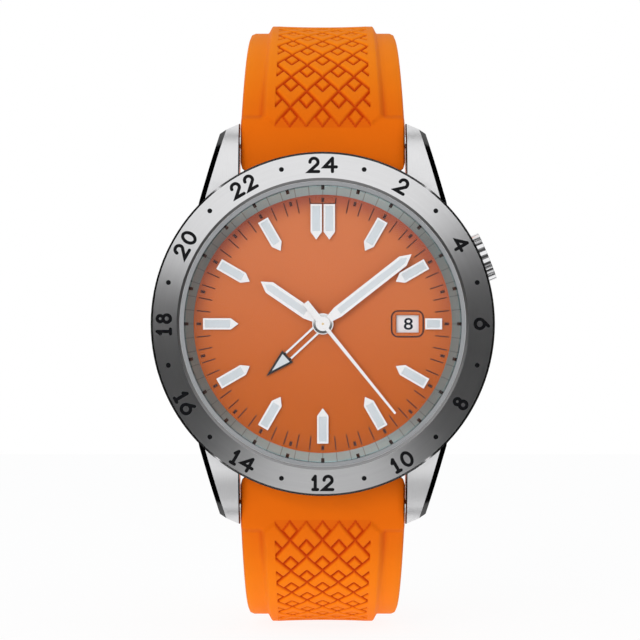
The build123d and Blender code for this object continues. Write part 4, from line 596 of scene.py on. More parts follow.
def mix_paints(colours):
    """Makes every material once and keeps it under its short name."""
    steel = tuple(colours.steel)
    silver = (0.9, 0.9, 0.91, 1)
    PAINTS.update(
        bezel=turned_steel("steel_turned_bezel", steel),
        case=lug_steel("steel_brushed_case", steel),
        polished=polished_steel("steel_polished", steel),
        crown=crown_steel("steel_polished_crown", shade(steel, 1.05)),
        rehaut=ring_paint("dial_ring_grey", tuple(colours.ring), (0.004, 0.005, 0.006, 1)),
        silver=polished_steel("silvered_dial_furniture", (0.87, 0.87, 0.88, 1), 0.2),
        seconds=polished_steel("silvered_seconds_hand", silver, 0.22),
        minute=hand_steel("silvered_minute_hand", silver, SECONDS_HUB),
        hour=hand_steel("silvered_hour_hand", silver, MINUTE_HUB),
        travel=travel_hand("travel_hand_two_tone", (0.86, 0.86, 0.87, 1), (0.01, 0.01, 0.012, 1)),
        dial=dial_paint("dial_lacquer_orange", tuple(colours.dial_top), tuple(colours.dial_low)),
        ink=enamel("dial_ink_brown", tuple(colours.ink), 0.5),
        date=enamel("date_disc_enamel", tuple(colours.date_card), 0.45),
        date_ink=enamel("date_figure_ink", srgb(18, 24, 40), 0.5, 0.1),
        fill=enamel("bezel_lacquer_black", tuple(colours.fill), 0.4, 0.08),
        lume=lume_paint("lume_day_colour", tuple(colours.lume)),
        crystal=clear_crystal("sapphire_crystal"),
        clear_gasket=gasket_rubber("gasket_translucent", srgb(136, 138, 140), 0.3),
        black_gasket=gasket_rubber("gasket_black", (0.02, 0.02, 0.022, 1), 0.45),
        rubber=moulded_rubber(
            "strap_rubber_orange", tuple(colours.rubber), tuple(colours.rubber_far),
            tuple(colours.rubber_deep),
        ),
        plate=striped_plate("rhodium_striped_plate", (0.66, 0.66, 0.65, 1)),
        spring=plated("spring_steel_blued", (0.34, 0.37, 0.43, 1), 0.2, 5200.0),
        brass=plated("wheel_brass_gilt", (0.78, 0.57, 0.26, 1), 0.22, 7000.0),
        ruby=ruby("ruby_bearing"),
    )


# ---------------------------------------------------------------- mesh helpers


def new_object(name, data):
    """Object in the scene that shows a mesh, a lamp, a camera or a text."""
    item = bpy.data.objects.new(name, data)
    bpy.context.scene.collection.objects.link(item)
    return item


def new_mesh(name, bm):
    """Mesh made of a bmesh, which is then let go."""
    mesh = bpy.data.meshes.new(name)
    bm.to_mesh(mesh)
    bm.free()
    return mesh


def evaluated_mesh(item):
    """Mesh that an object shows once its text or its modifiers are worked out."""
    bpy.context.view_layer.update()
    graph = bpy.context.evaluated_depsgraph_get()
    return bpy.data.meshes.new_from_object(item.evaluated_get(graph))


def hang_piece(name, mesh, body, paint):
    """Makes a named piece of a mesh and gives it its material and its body."""
    if not mesh.polygons:
        raise RuntimeError(f"{name} has no faces")
    mesh.materials.clear()
    mesh.materials.append(PAINTS[paint])
    piece = new_object(name, mesh)
    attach(piece, body)
    return piece


def dress(paint, *nodes):
    """Puts a material on CAD nodes."""
    for name in nodes:
        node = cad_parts[name]
        node.data.materials.clear()
        node.data.materials.append(PAINTS[paint])


def flat_sheet(bm, matrix):
    """Square of one face, made larger and put in its place by a matrix."""
    bmesh.ops.create_grid(bm, x_segments=1, y_segments=1, size=0.5, matrix=matrix)


def dial_bar(bm, clock, inner, outer, width, thickness):
    """Thin bar on the dial, at a clock angle in degrees."""
    place = (
        DIAL
        @ Matrix.Rotation(-math.radians(clock), 4, "Z")
        @ Matrix.Translation((0, (inner + outer) / 2, DIAL_FACE + thickness / 2))
        @ Matrix.Diagonal((width, outer - inner, thickness, 1))
    )
    bmesh.ops.create_cube(bm, size=1, matrix=place)


def rounded_plate(bm, width, height, corner):
    """Flat rounded rectangle round the origin, and returns its face."""
    flat_sheet(bm, Matrix.Diagonal((width, height, 1, 1)))
    bmesh.ops.bevel(
        bm, geom=bm.verts[:], offset=corner, segments=6, profile=0.5, affect="VERTICES",
        material=-1,
    )
    return max(bm.faces, key=lambda face: face.calc_area())


def thicken(bm, height):
    """Raises a flat sheet to a closed plate."""
    top = bmesh.ops.extrude_face_region(bm, geom=bm.faces[:])
    lift = [item for item in top["geom"] if isinstance(item, bmesh.types.BMVert)]
    bmesh.ops.translate(bm, vec=(0, 0, height), verts=lift)
    bmesh.ops.recalc_face_normals(bm, faces=bm.faces[:])


# ---------------------------------------------------------------- strap, in millimetres

# Where the strap's outer face passes the lug tip, as z and y, and its slope there in degrees
STRAP_START = Vector((24.06, -5.2))
START_SLOPE = 15
# Length and turn of the crest, radius and turn of the shoulder, turn of the bend behind it
CREST = (2.45, 22)
SHOULDER = (28.5, 53)
BACK_TURN = 90
# Section at the lug, a third of the way to the straight end, and where that end starts
HALF_WIDTHS = (9.9, 9.2, 8.0)
PANEL_FEET = (7.7, 6.85, 6.85)
PANEL_TOPS = (6.75, 6.2, 6.2)
THICKNESSES = (4.1, 3.3, 3.0)
END_THICKNESS = THICKNESSES[2]
# How far the even mesh stays from the edge of the panel's top, and from the strap's side
PANEL_EDGE = 0.15
WING_EDGE = 0.6
# Points on the rounded sides: in from the side, and down from the outer face or up from the
# inner one
OUTER_RIM = ((0.18, 0.18), (0, 0.6))
INNER_RIM = ((0, 0.5), (0.15, 0.15), (0.5, 0))
# The fitted end: its length, how much thicker it is, its hollow face round the case and its
# corners beside the bezel
BLOCK_LENGTH = 8
BLOCK_SWELL = 0.2
BLOCK_RADIUS = 20.36
CORNER_RADIUS = 1.6
# Length of the fine mesh before the lug tip, spacing of the rows behind the lattice, and where
# the lattice begins
BAND_START = 1.6
COARSE_STEP = 0.9
LATTICE_START = 0.36
LATTICE_ROWS = 13
LATTICE_HALF_WIDTH = 5.82
# One step of the lattice, where the width of a groove is measured
LATTICE_CELL = 1.5
# Depths below the outer face: smooth end piece, wings beside the panel, small diamonds, and
# the hollow along the panel's middle
END_DROP = 0.4
WING_DROP = 0.9
SMALL_DROP = 0.09
MIDDLE_DROP = 0.12
# Where the relief changes along the strap, and over what length: the buckle's smooth end, the
# wings, the panel, its hollow, and the painted shade along the crease beside it, first growing
# darker and then fading
FLAT_STEP = (0, 3)
WING_STEP = (0.7, 1.2)
PANEL_STEP = (0, 0.9)
HOLLOW_STEP = (0, 1.5)
CREASE_STEP = (0.6, 1.2)
CREASE_FADE = (2, 12)
# Middle of the crease's painted shade inside the panel's foot, and its half width
CREASE_INSET = 0.15
CREASE_HALF = 0.7
# How far from the middle the panel's corners begin, and how steep they are
CORNER_REACH = 5.8
CORNER_SLOPE = 0.9
# Radius of the round tail end, and how far from the end it begins
TAIL_RADIUS = 8
TAIL_LENGTH = 7


def strap_legs(arc_radius, straight):
    """Path of the strap's outer face, each leg a length and a turn in degrees."""
    return [
        CREST,
        (SHOULDER[0] * math.radians(SHOULDER[1]), SHOULDER[1]),
        (arc_radius * math.radians(BACK_TURN), BACK_TURN),
        (straight, 0),
    ]


def strap_walk(legs, distance):
    """Point, as z and y, and heading of the outer face after a distance from the lug tip."""
    heading = math.radians(START_SLOPE)
    point = STRAP_START.copy()
    if distance < 0:
        return point + distance * Vector((math.cos(heading), math.sin(heading))), heading
    for leg, turn in legs:
        step = min(leg, distance)
        angle = math.radians(turn) * step / leg
        if turn:
            radius = leg / math.radians(turn)
            point += radius * Vector((
                math.sin(heading + angle) - math.sin(heading),
                math.cos(heading) - math.cos(heading + angle),
            ))
        else:
            point += step * Vector((math.cos(heading), math.sin(heading)))
        heading += angle
        distance -= step
    point += distance * Vector((math.cos(heading), math.sin(heading)))
    return point, heading


def between(values, first, second):
    """Value on the way from the first of three over the second to the third."""
    start, middle, end = values
    return start + (middle - start) * first + (end - middle) * second


class StrapShape:
    """Section and relief of one strap half, in millimetres."""

    def __init__(self, arc_radius, straight, tail, sizes):
        self.legs = strap_legs(arc_radius, straight)
        self.total = sum(leg for leg, _ in self.legs)
        self.curved = self.total - straight
        self.tail = tail
        self.pitch = sizes.lattice_pitch / MM
        self.rise = sizes.lattice_rise / MM
        self.loss = sizes.lattice_loss / MM
        self.depth = sizes.lattice_depth / MM
        self.half = sizes.groove_half / MM
        self.step = sizes.mesh_step / MM
        lattice_length = self.rise * LATTICE_ROWS - self.loss / 2 * LATTICE_ROWS ** 2
        self.lattice_end = lattice_length - LATTICE_START

    def sizes_at(self, distance):
        """Half width, panel foot, panel top and thickness at a distance."""
        share = clamp(distance / self.curved)
        first = min(1, 3 * share)
        second = max(0, (3 * share - 1) / 2)
        thickness = between(THICKNESSES, first, second)
        if distance < 0:
            thickness += BLOCK_SWELL * min(1, -distance)
        return (between(HALF_WIDTHS, first, second), between(PANEL_FEET, first, second),
                between(PANEL_TOPS, first, second), thickness)

    def lattice(self, distance, x):
        """Depth of the lattice below the panel and how much painted groove shade it gets."""
        ahead = distance + LATTICE_START
        if distance > self.lattice_end:
            return 0.0, 0.0
        narrow = clamp(3 * distance / self.curved)
        across = x / (self.pitch * (1 - 0.1 * narrow))
        along = (self.rise - math.sqrt(self.rise ** 2 - 2 * self.loss * ahead)) / self.loss
        first, second = across + along, across - along
        cell_first, cell_second = round(first / 2), round(second / 2)
        part, other = first - 2 * cell_first, second - 2 * cell_second
        small = part > 0 > other
        # Rows before the lattice get a fixed share of painted shade
        if cell_first <= cell_second and not small:
            return END_DROP, 0.35
        far = min(1 - abs(part), 1 - abs(other))
        if part <= 0 <= other:
            near = math.hypot(part, other)
        else:
            near = min(abs(part) if other < 0 else 1, abs(other) if part > 0 else 1)
        cut = max(0, 1 - min(far, near) * LATTICE_CELL / self.half)
        # Small diamonds get a little more painted shade than their cut alone gives
        if small:
            return SMALL_DROP + self.depth * cut, min(1, cut + 0.14)
        return self.depth * cut, cut

    def relief(self, distance, x):
        """Depth below the outer face at a place, and how much painted shade it gets in grooves
        and along the crease.
        """
        _, foot, top, _ = self.sizes_at(distance)
        reach = abs(x)
        flat = 1.0 if self.tail else ramp(self.total - distance, *FLAT_STEP)
        wing = END_DROP + (WING_DROP - END_DROP) * ramp(distance, *WING_STEP)
        ahead = distance + LATTICE_START
        late = max(0, reach - CORNER_REACH) * CORNER_SLOPE
        panel = END_DROP * (1 - ramp(ahead - late, *PANEL_STEP))
        narrowed = (PANEL_TOPS[0] - top) / (PANEL_TOPS[0] - PANEL_TOPS[2])
        limit = LATTICE_HALF_WIDTH * (1 - 0.07 * narrowed)
        groove = 0.0
        if reach <= limit and ahead >= 0:
            panel, groove = self.lattice(distance, x)
            panel += MIDDLE_DROP * (1 - (reach / limit) ** 2) * ramp(ahead, *HOLLOW_STEP)
        band = ramp(reach, top, foot - top)
        # Painted shade along the crease beside the panel, first growing and then fading along the
        # strap
        shadow = ramp(distance, *CREASE_STEP) * (1 - 0.75 * ramp(distance, *CREASE_FADE))
        crease = max(0, 1 - abs(reach - foot + CREASE_INSET) / CREASE_HALF) * shadow * 0.5
        return (panel * (1 - band) + wing * band) * flat, max(groove, crease)

    def columns(self, distance):
        """Closed section from the middle of the inner face, as x, drop and painted groove shade.
        """
        width, foot, top, thickness = self.sizes_at(distance)
        edge = top - PANEL_EDGE
        count = round((PANEL_TOPS[0] - PANEL_EDGE) / self.step)
        panel = [edge * index / count for index in range(-count, count + 1)]
        band = [top + (foot - top) * index / 6 for index in range(7)]
        wing = [foot + (width - WING_EDGE - foot) * index / 3 for index in range(1, 4)]
        outer = band + wing
        face = [-x for x in reversed(outer)] + panel + outer
        points = [(x, *self.relief(distance, x)) for x in face]
        drop = points[0][1]
        right = [(width - inward, drop + down, 0.0) for inward, down in OUTER_RIM]
        right += [(width - inward, thickness - up, 0.0) for inward, up in INNER_RIM]
        right += [(width * share, thickness, 0.0) for share in (0.6, 0.3)]
        left = [(-x, fall, groove) for x, fall, groove in reversed(right)]
        middle = [(0.0, thickness, 0.0)]
        return middle + left + points + right + middle

    def rows(self):
        """Stations along the strap: block shares below the start, then distances."""
        rows = [("block", share) for share in (0, 0.25, 0.5, 0.75)]
        fine_end = self.lattice_end + 0.5
        reach = fine_end + BAND_START
        count = round(reach / self.step)
        rows += [("band", reach * i / count - BAND_START) for i in range(count + 1)]
        last = self.total - fine_end
        coarse = round(last / COARSE_STEP)
        rows += [("band", fine_end + last * i / coarse) for i in range(1, coarse + 1)]
        if not self.tail:
            half = END_THICKNESS / 2
            rows += [("band", self.total + half * math.sin(math.radians(angle)))
                     for angle in (15, 30, 45, 60, 75, 84)]
        return rows

    def point(self, row, x, drop):
        """Place of a section's point in the frame, as x, y and z of the upper half."""
        kind, value = row
        if kind == "block":
            arc = math.sqrt(BLOCK_RADIUS ** 2 - x ** 2)
            past = abs(x) - (HALF_WIDTHS[0] - CORNER_RADIUS)
            if past > 0:
                arc += CORNER_RADIUS - math.sqrt(max(0, CORNER_RADIUS ** 2 - past ** 2))
            slope = math.radians(START_SLOPE)
            inner = STRAP_START.x - BAND_START * math.cos(slope)
            z = arc + (inner - arc) * value
            z -= value * drop * math.sin(slope)
            y = STRAP_START.y - (STRAP_START.x - z) * math.tan(slope) + drop / math.cos(slope)
            return x, y, z
        if self.tail and value > self.total - TAIL_LENGTH:
            back = TAIL_LENGTH - (self.total - value)
            x *= math.sqrt(TAIL_RADIUS ** 2 - back ** 2) / TAIL_RADIUS
        if not self.tail and value > self.total:
            half = END_THICKNESS / 2
            share = math.sqrt(max(0, 1 - ((value - self.total) / half) ** 2))
            drop = half + (drop - half) * share
        spot, heading = strap_walk(self.legs, value)
        inward = Vector((-math.sin(heading), math.cos(heading)))
        spot += inward * drop
        return x, spot.y, spot.x


def strap_mesh(shape, side):
    """Closed mesh of one strap half with its lattice."""
    rows = shape.rows()
    sections = [
        shape.columns(value if kind == "band" else -BAND_START - BLOCK_LENGTH * (1 - value))
        for kind, value in rows
    ]
    wide, tall = len(sections[0]), len(rows)
    bm = bmesh.new()
    bmesh.ops.create_grid(bm, x_segments=wide - 1, y_segments=tall - 1, size=1)
    if len(bm.verts) != wide * tall:
        raise RuntimeError("the strap's grid has another number of points")
    # The groove layer carries painted shade into the rubber's colour
    layer = bm.verts.layers.float.new("groove")
    for vertex in bm.verts:
        column = round((vertex.co.x + 1) / 2 * (wide - 1))
        line = round((vertex.co.y + 1) / 2 * (tall - 1))
        x, drop, groove = sections[line][column]
        x, y, z = shape.point(rows[line], x, drop)
        vertex[layer] = groove
        vertex.co = Vector((x, y, z * side)) * MM
    bmesh.ops.remove_doubles(bm, verts=bm.verts[:], dist=0.0005 * MM)
    rim = [edge for edge in bm.edges if edge.is_boundary]
    bmesh.ops.holes_fill(bm, edges=rim, sides=0)
    bmesh.ops.recalc_face_normals(bm, faces=bm.faces[:])
    return new_mesh("strap", bm)


def cross_bore(bm, z, y, radius):
    """Round bore across the whole strap."""
    place = Matrix.Translation(Vector((0, y, z)) * MM) @ Matrix.Rotation(math.radians(90), 4, "Y")
    bmesh.ops.create_cone(
        bm, cap_ends=True, segments=40, radius1=radius * MM, radius2=radius * MM,
        depth=22 * MM, matrix=place,
    )


def through_slot(bm, z, y, width, span, corner):
    """Rounded slot through the strap, its span along the strap."""
    depth = 6.0
    part = bmesh.new()
    rounded_plate(part, width * MM, span * MM, corner * MM)
    thicken(part, depth * MM)
    part.transform(Matrix.Translation(Vector((0, y + depth / 2, z)) * MM) @ DIAL)
    holder = new_mesh("slot", part)
    bm.from_mesh(holder)
    bpy.data.meshes.remove(holder)


def cut_mesh(mesh, tools):
    """Mesh with the tools cut out of it."""
    cutter = new_object("strap_cutter", new_mesh("tools", tools))
    blank = new_object("strap_blank", mesh)
    change = blank.modifiers.new("holes", "BOOLEAN")
    change.operation = "DIFFERENCE"
    change.solver = "EXACT"
    change.object = cutter
    result = evaluated_mesh(blank)
    for item in (cutter, blank):
        bpy.data.objects.remove(item)
    if len(result.polygons) < len(mesh.polygons) * 0.6:
        raise RuntimeError("cutting the strap lost its surface")
    return result


def hang_strap(name, shape, side, tools):
    """Cuts a strap half and puts it in the place of its plain CAD node."""
    mesh = cut_mesh(strap_mesh(shape, side), tools)
    mesh.shade_smooth()
    mesh.set_sharp_from_angle(angle=math.radians(40))
    piece = hang_piece(f"{name}_rubber", mesh, name, "rubber")
    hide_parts(name)


# ---------------------------------------------------------------- operators

# The camera's focal length in millimetres and its place in metres, fitted to the photograph
CAMERA_LENS = 212.7
CAMERA_PLACE = (-0.000333, -0.4609, 0.000464)
# Printed bar at the double marker: its radii and width, and where the lines beside it begin
TWELVE_BAR = (14.42 * MM, 14.5 * MM, 3.1 * MM)
TWELVE_LINE_START = 14.45 * MM
# Printed date frame: its middle on the 3 o'clock line, its corners and its line
DATE_FRAME_MIDDLE = 10.16 * MM
DATE_FRAME_CORNER = 0.87 * MM
DATE_FRAME_LINE = 0.2 * MM
# Date figures: how many, the one in the window, their middle, the room across them and how
# much wider a single figure is drawn
DAYS = 31
SHOWN_DAY = 8
FIGURE_MIDDLE = 10.28 * MM
FIGURE_ROOM = 2.3 * MM
SINGLE_STRETCH = 1.2
# Strap halves: radius of the bend and length of the straight end, in millimetres
UPPER_PATH = (20.0, 19.0)
LOWER_PATH = (33.0, 29.0)
# Bores for the spring bars: place at the lugs, as z and y, and radii at lugs and buckle
LUG_BAR = (22.0, -3.5)
LUG_BORE = 0.93
BUCKLE_BORE = 0.8
# Width, span and corner of the slot for the tang and of each hole, and the holes' spacing
TANG_SLOT = (2.9, 6.4, 0.1)
TANG_HOLE = (1.7, 3.0, 0.84)
HOLE_COUNT = 7
FIRST_HOLE = 12
HOLE_STEP = 6
# The floor's width in metres and its gap below the strap, its glow, and how much less of that
# the camera sees
FLOOR_WIDTH = 1.2
FLOOR_GAP = 0.3 * MM
FLOOR_GLOW = 1.76
FLOOR_UNSEEN = 0.72
# Name, place in metres, width, height and power of each light
LIGHTS = (
    ("key_above", (-0.05, -0.4, 0.36), 0.5, 0.3, 0.1),
    ("fill_front", (-0.2, -0.58, 0.1), 0.26, 0.26, 1.6),
)
# Name, place in metres, width, height and brightness of each card
CARDS = (
    ("flag_left", (-0.34, -0.25, -0.13), 0.5, 0.56, 0.02),
    ("flag_right", (0.34, -0.25, -0.08), 0.5, 0.66, 0.02),
    ("card_below", (0.0, -0.28, -0.34), 0.3, 0.34, 0.6),
    ("wall_left", (-0.5, 0.12, 0.0), 0.36, 1.3, 0.01),
    ("wall_right", (0.5, 0.12, 0.0), 0.36, 1.3, 0.01),
    ("wall_top", (0.0, 0.0, 0.6), 0.9, 0.1, 0.02),
    ("wall_below", (0.0, 0.0, -0.6), 0.9, 0.1, 0.02),
)


class WATCH_OT_camera(bpy.types.Operator):
    """Camera straight in front of the dial"""

    bl_idname = "watch.camera"
    bl_label = "Camera"

    def execute(self, context):
        data = bpy.data.cameras.new("dial_view")
        data.sensor_width = 36
        data.lens = CAMERA_LENS
        data.clip_start = 0.01
        camera = new_object("dial_view", data)
        camera.location = CAMERA_PLACE
        camera.rotation_euler = (math.radians(90), 0, 0)
        context.scene.camera = camera
        return {"FINISHED"}


class WATCH_OT_finishes(bpy.types.Operator):
    """Materials for every finish of the watch"""

    bl_idname = "watch.finishes"
    bl_label = "Finishes"

    def execute(self, context):
        mix_paints(context.scene.watch_colours)
        return {"FINISHED"}


class WATCH_OT_case(bpy.types.Operator):
    """Case, bezel, crown and their seals"""

    bl_idname = "watch.case"
    bl_label = "Case and bezel"

    def execute(self, context):
        dress("case", "mid_case")
        dress("bezel", "bezel")
        dress("fill", "bezel_numerals")
        dress("crown", "crown")
        dress("polished", "case_back", "lug_spring_bars", "crown_tube")
        dress("rehaut", "rehaut")
        dress("crystal", "crystal")
        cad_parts["crystal"].visible_shadow = False
        dress("clear_gasket", "crystal_gasket")
        dress("black_gasket", "case_back_gasket", "crown_gasket")
        return {"FINISHED"}


class WATCH_OT_movement(bpy.types.Operator):
    """Movement, its train and the winding rotor"""

    bl_idname = "watch.movement"
    bl_label = "Movement"

    def execute(self, context):
        dress("plate", "main_plate", "barrel_bridge", "train_bridge", "balance_cock",
              "pallet_cock", "movement_ring", "rotor")
        dress("brass", "hour_wheel", "gmt_wheel", "gmt_intermediate_wheel", "minute_wheel",
              "seconds_wheel", "third_wheel", "barrel", "balance_wheel")
        dress("spring", "hairspring", "mainspring", "bezel_spring", "movement_screws",
              "pallet_fork", "escape_wheel", "cannon_pinion")
        dress("polished", "stem", "sliding_pinion", "stem_retainer", "rotor_bearing")
        dress("ruby", "jewels")
        return {"FINISHED"}


class WATCH_OT_dial(bpy.types.Operator):
    """Dial lacquer, its markers and its printing"""

    bl_idname = "watch.dial"
    bl_label = "Dial"

    def execute(self, context):
        sizes = context.scene.watch_sizes
        dress("dial", "dial")
        dress("silver", "hour_markers")
        dress("lume", "hour_marker_lume")
        dress("date", "date_disc")
        ink = sizes.print_thickness
        bm = bmesh.new()
        for minute in range(60):
            if minute % 5:
                inner = TWELVE_LINE_START if minute in (1, 59) else sizes.minute_inner
                dial_bar(bm, minute * 6, inner, sizes.minute_outer, sizes.minute_width, ink)
        dial_bar(bm, 0, *TWELVE_BAR, ink)
        for block in range(24):
            dial_bar(bm, block * 15, sizes.block_inner, sizes.block_outer, sizes.block_width, ink)
        hang_piece("minute_track", new_mesh("minute_track", bm), "case", "ink")
        bm = bmesh.new()
        face = rounded_plate(
            bm, sizes.date_frame_width, sizes.date_frame_height, DATE_FRAME_CORNER
        )
        bmesh.ops.inset_individual(
            bm, faces=[face], thickness=DATE_FRAME_LINE, use_even_offset=True
        )
        bmesh.ops.delete(bm, geom=[face], context="FACES")
        thicken(bm, ink)
        bm.transform(DIAL @ Matrix.Translation((DATE_FRAME_MIDDLE, 0, DIAL_FACE)))
        mesh = new_mesh("date_frame_print", bm)
        hang_piece("date_frame_print", mesh, "case", "ink")
        return {"FINISHED"}


class WATCH_OT_date(bpy.types.Operator):
    """Figures 1 to 31 on the date disc, with 8 in the window"""

    bl_idname = "watch.date"
    bl_label = "Date figures"

    def execute(self, context):
        sizes = context.scene.watch_sizes
        bm = bmesh.new()
        for day in range(1, DAYS + 1):
            text = bpy.data.curves.new(f"day_{day}", "FONT")
            text.body = str(day)
            text.size = 1.0
            text.offset = 0.012
            text.align_x = "CENTER"
            holder = new_object(f"day_{day}", text)
            mesh = evaluated_mesh(holder)
            bpy.data.objects.remove(holder)
            low = Vector([min(v.co[i] for v in mesh.vertices) for i in range(3)])
            high = Vector([max(v.co[i] for v in mesh.vertices) for i in range(3)])
            scale = sizes.date_height / (high.y - low.y)
            middle = (low + high) / 2
            width = min(1.0, FIGURE_ROOM / (scale * (high.x - low.x)))
            if day < 10:
                width *= SINGLE_STRETCH
            mesh.transform(
                DIAL
                @ Matrix.Rotation((SHOWN_DAY - day) * math.tau / DAYS, 4, "Z")
                @ Matrix.Translation((FIGURE_MIDDLE, 0, DATE_FACE))
                @ Matrix.Diagonal((scale * width, scale, 1, 1))
                @ Matrix.Translation((-middle.x, -middle.y, 0))
            )
            bm.from_mesh(mesh)
            bpy.data.meshes.remove(mesh)
        bmesh.ops.recalc_face_normals(bm, faces=bm.faces[:])
        for face in bm.faces:
            if face.normal.y > 0:
                face.normal_flip()
        mesh = new_mesh("date_figures", bm)
        hang_piece("date_figures", mesh, "date_disc", "date_ink")
        return {"FINISHED"}


class WATCH_OT_hands(bpy.types.Operator):
    """Four hands with their lume"""

    bl_idname = "watch.hands"
    bl_label = "Hands"

    def execute(self, context):
        dress("hour", "hour_hand")
        dress("minute", "minute_hand")
        dress("seconds", "second_hand")
        dress("travel", "gmt_hand")
        dress("lume", "hour_hand_lume", "minute_hand_lume", "gmt_hand_lume")
        return {"FINISHED"}


class WATCH_OT_strap(bpy.types.Operator):
    """Both halves of the moulded rubber strap"""

    bl_idname = "watch.strap"
    bl_label = "Strap"

    def execute(self, context):
        sizes = context.scene.watch_sizes
        dress("rubber", "strap_upper", "strap_lower", "fixed_keeper", "free_keeper")
        bar_z, bar_y = LUG_BAR
        upper = StrapShape(*UPPER_PATH, tail=False, sizes=sizes)
        end, _ = strap_walk(upper.legs, upper.total)
        middle = end.y - END_THICKNESS / 2
        tools = bmesh.new()
        cross_bore(tools, bar_z, bar_y, LUG_BORE)
        cross_bore(tools, end.x, middle, BUCKLE_BORE)
        through_slot(tools, end.x, middle, *TANG_SLOT)
        hang_strap("strap_upper", upper, 1, tools)
        lower = StrapShape(*LOWER_PATH, tail=True, sizes=sizes)
        end, _ = strap_walk(lower.legs, lower.total)
        middle = end.y - END_THICKNESS / 2
        tools = bmesh.new()
        cross_bore(tools, -bar_z, bar_y, LUG_BORE)
        for index in range(HOLE_COUNT):
            through_slot(tools, -end.x - FIRST_HOLE - HOLE_STEP * index, middle, *TANG_HOLE)
        hang_strap("strap_lower", lower, -1, tools)
        return {"FINISHED"}


class WATCH_OT_buckle(bpy.types.Operator):
    """Pin buckle behind the wrist"""

    bl_idname = "watch.buckle"
    bl_label = "Buckle"

    def execute(self, context):
        dress("polished", "buckle_frame", "buckle_tang", "buckle_spring_bar")
        return {"FINISHED"}


def soft_light(name, place, width, height, power):
    """Rectangular soft light that faces the dial and isn't mirrored in the metal."""
    data = bpy.data.lights.new(name, "AREA")
    data.shape = "RECTANGLE"
    data.size = width
    data.size_y = height
    data.energy = power
    lamp = new_object(name, data)
    lamp.visible_glossy = False
    lamp.location = place
    lamp.rotation_euler = (-Vector(place)).to_track_quat("-Z", "Y").to_euler()
    lamp.visible_camera = False


def card(name, place, width, height, tone):
    """Card that only metal and glass see, turned to the dial."""
    bm = bmesh.new()
    turn = (-Vector(place)).to_track_quat("Z", "Y").to_matrix().to_4x4()
    flat_sheet(bm, Matrix.Translation(place) @ turn @ Matrix.Diagonal((width, height, 1, 1)))
    mesh = new_mesh(name, bm)
    material = bpy.data.materials.new(name)
    nodes = Nodes(material)
    glow = nodes.node("ShaderNodeEmission", values={0: (tone, tone, tone, 1)})
    nodes.show("ShaderNodeOutputMaterial", glow)
    mesh.materials.append(material)
    flag = new_object(name, mesh)
    flag.visible_camera = False
    flag.visible_diffuse = False
    flag.visible_transmission = False


def studio_world():
    """Surroundings that look white, and light the watch a little less than they show."""
    world = bpy.data.worlds.new("studio")
    bpy.context.scene.world = world
    nodes = Nodes(world)
    seen = nodes.ray("Is Camera Ray")
    for kind in ("Is Glossy Ray", "Is Transmission Ray"):
        seen = nodes.node(
            "ShaderNodeMath", {"operation": "ADD", "use_clamp": True},
            {0: seen, 1: nodes.ray(kind)},
        )
    dim = nodes.node("ShaderNodeBackground", values={0: (0.97, 0.98, 1, 1), 1: 0.72})
    white = nodes.node("ShaderNodeBackground", values={0: (1, 1, 1, 1), 1: 1})
    either = nodes.node("ShaderNodeMixShader", values={0: seen, 1: dim, 2: white})
    nodes.show("ShaderNodeOutputWorld", either)


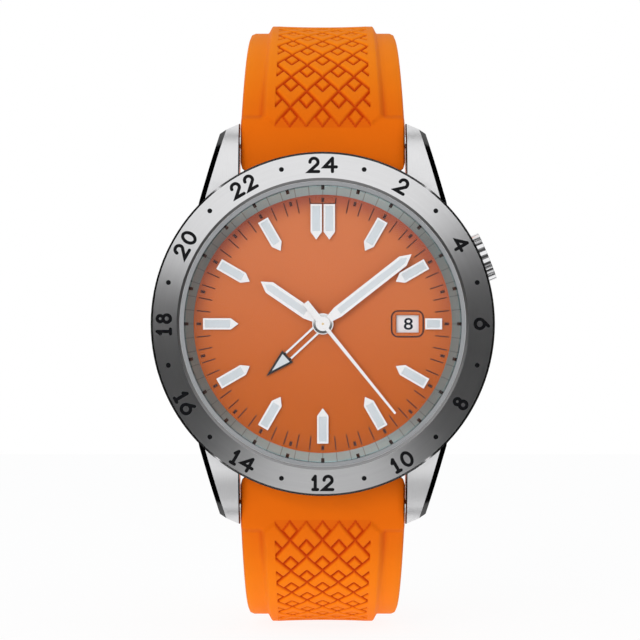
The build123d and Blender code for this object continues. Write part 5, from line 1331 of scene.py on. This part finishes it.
def studio_floor():
    """Floor that glows for the strap and the dial, and looks only white to the camera."""
    bm = bmesh.new()
    place = Matrix.Translation((0, 0.02, CAD_BOX[0][2] - FLOOR_GAP))
    flat_sheet(bm, place @ Matrix.Diagonal((FLOOR_WIDTH, FLOOR_WIDTH, 1, 1)))
    mesh = new_mesh("studio_floor", bm)
    paint = Paint("studio_floor", Roughness=0.9, Base_Color=(0.86, 0.86, 0.86, 1),
                  Specular_IOR_Level=0.0)
    camera_ray = paint.ray("Is Camera Ray")
    strength = FLOOR_GLOW - camera_ray * FLOOR_UNSEEN
    glow = paint.node("ShaderNodeEmission", values={0: (1, 1, 1, 1), 1: strength})
    share = camera_ray * 0.51 + paint.ray("Is Glossy Ray") * 0.65 + 0.35
    blend = paint.node("ShaderNodeMixShader", values={0: share, 1: paint.surface, 2: glow})
    paint.feed(paint.output.inputs[0], blend)
    mesh.materials.append(paint.material)
    floor = new_object("studio_floor", mesh)
    floor.visible_glossy = False


class WATCH_OT_stage(bpy.types.Operator):
    """Pale floor, white surroundings, soft lights and dark cards"""

    bl_idname = "watch.stage"
    bl_label = "Stage"

    def execute(self, context):
        studio_world()
        studio_floor()
        for light in LIGHTS:
            soft_light(*light)
        for sheet in CARDS:
            card(*sheet)
        context.scene.view_settings.view_transform = "Standard"
        return {"FINISHED"}


class WATCH_PT_panel(bpy.types.Panel):
    """Lists the steps that dress the watch"""

    bl_idname = "WATCH_PT_panel"
    bl_label = "Travel watch"
    bl_space_type = "VIEW_3D"
    bl_region_type = "UI"
    bl_category = "Watch"

    def draw(self, context):
        layout = self.layout
        for operator in OPERATORS:
            layout.operator(operator.bl_idname)
        for group in (context.scene.watch_sizes, context.scene.watch_colours):
            box = layout.box()
            for name in group.bl_rna.properties.keys():
                if name not in ("rna_type", "name"):
                    box.prop(group, name)


OPERATORS = (
    WATCH_OT_camera,
    WATCH_OT_finishes,
    WATCH_OT_case,
    WATCH_OT_movement,
    WATCH_OT_dial,
    WATCH_OT_date,
    WATCH_OT_hands,
    WATCH_OT_strap,
    WATCH_OT_buckle,
    WATCH_OT_stage,
)
CLASSES = (WatchSizes, WatchColours, *OPERATORS, WATCH_PT_panel)


def register():
    for item in CLASSES:
        bpy.utils.register_class(item)
    bpy.types.Scene.watch_sizes = bpy.props.PointerProperty(type=WatchSizes)
    bpy.types.Scene.watch_colours = bpy.props.PointerProperty(type=WatchColours)


def unregister():
    del bpy.types.Scene.watch_colours
    del bpy.types.Scene.watch_sizes
    for item in reversed(CLASSES):
        bpy.utils.unregister_class(item)


def main():
    register()
    bpy.ops.watch.camera()
    bpy.ops.watch.finishes()
    bpy.ops.watch.case()
    bpy.ops.watch.movement()
    bpy.ops.watch.dial()
    bpy.ops.watch.date()
    bpy.ops.watch.hands()
    bpy.ops.watch.strap()
    bpy.ops.watch.buckle()
    bpy.ops.watch.stage()


if __name__ == "__main__":
    main()
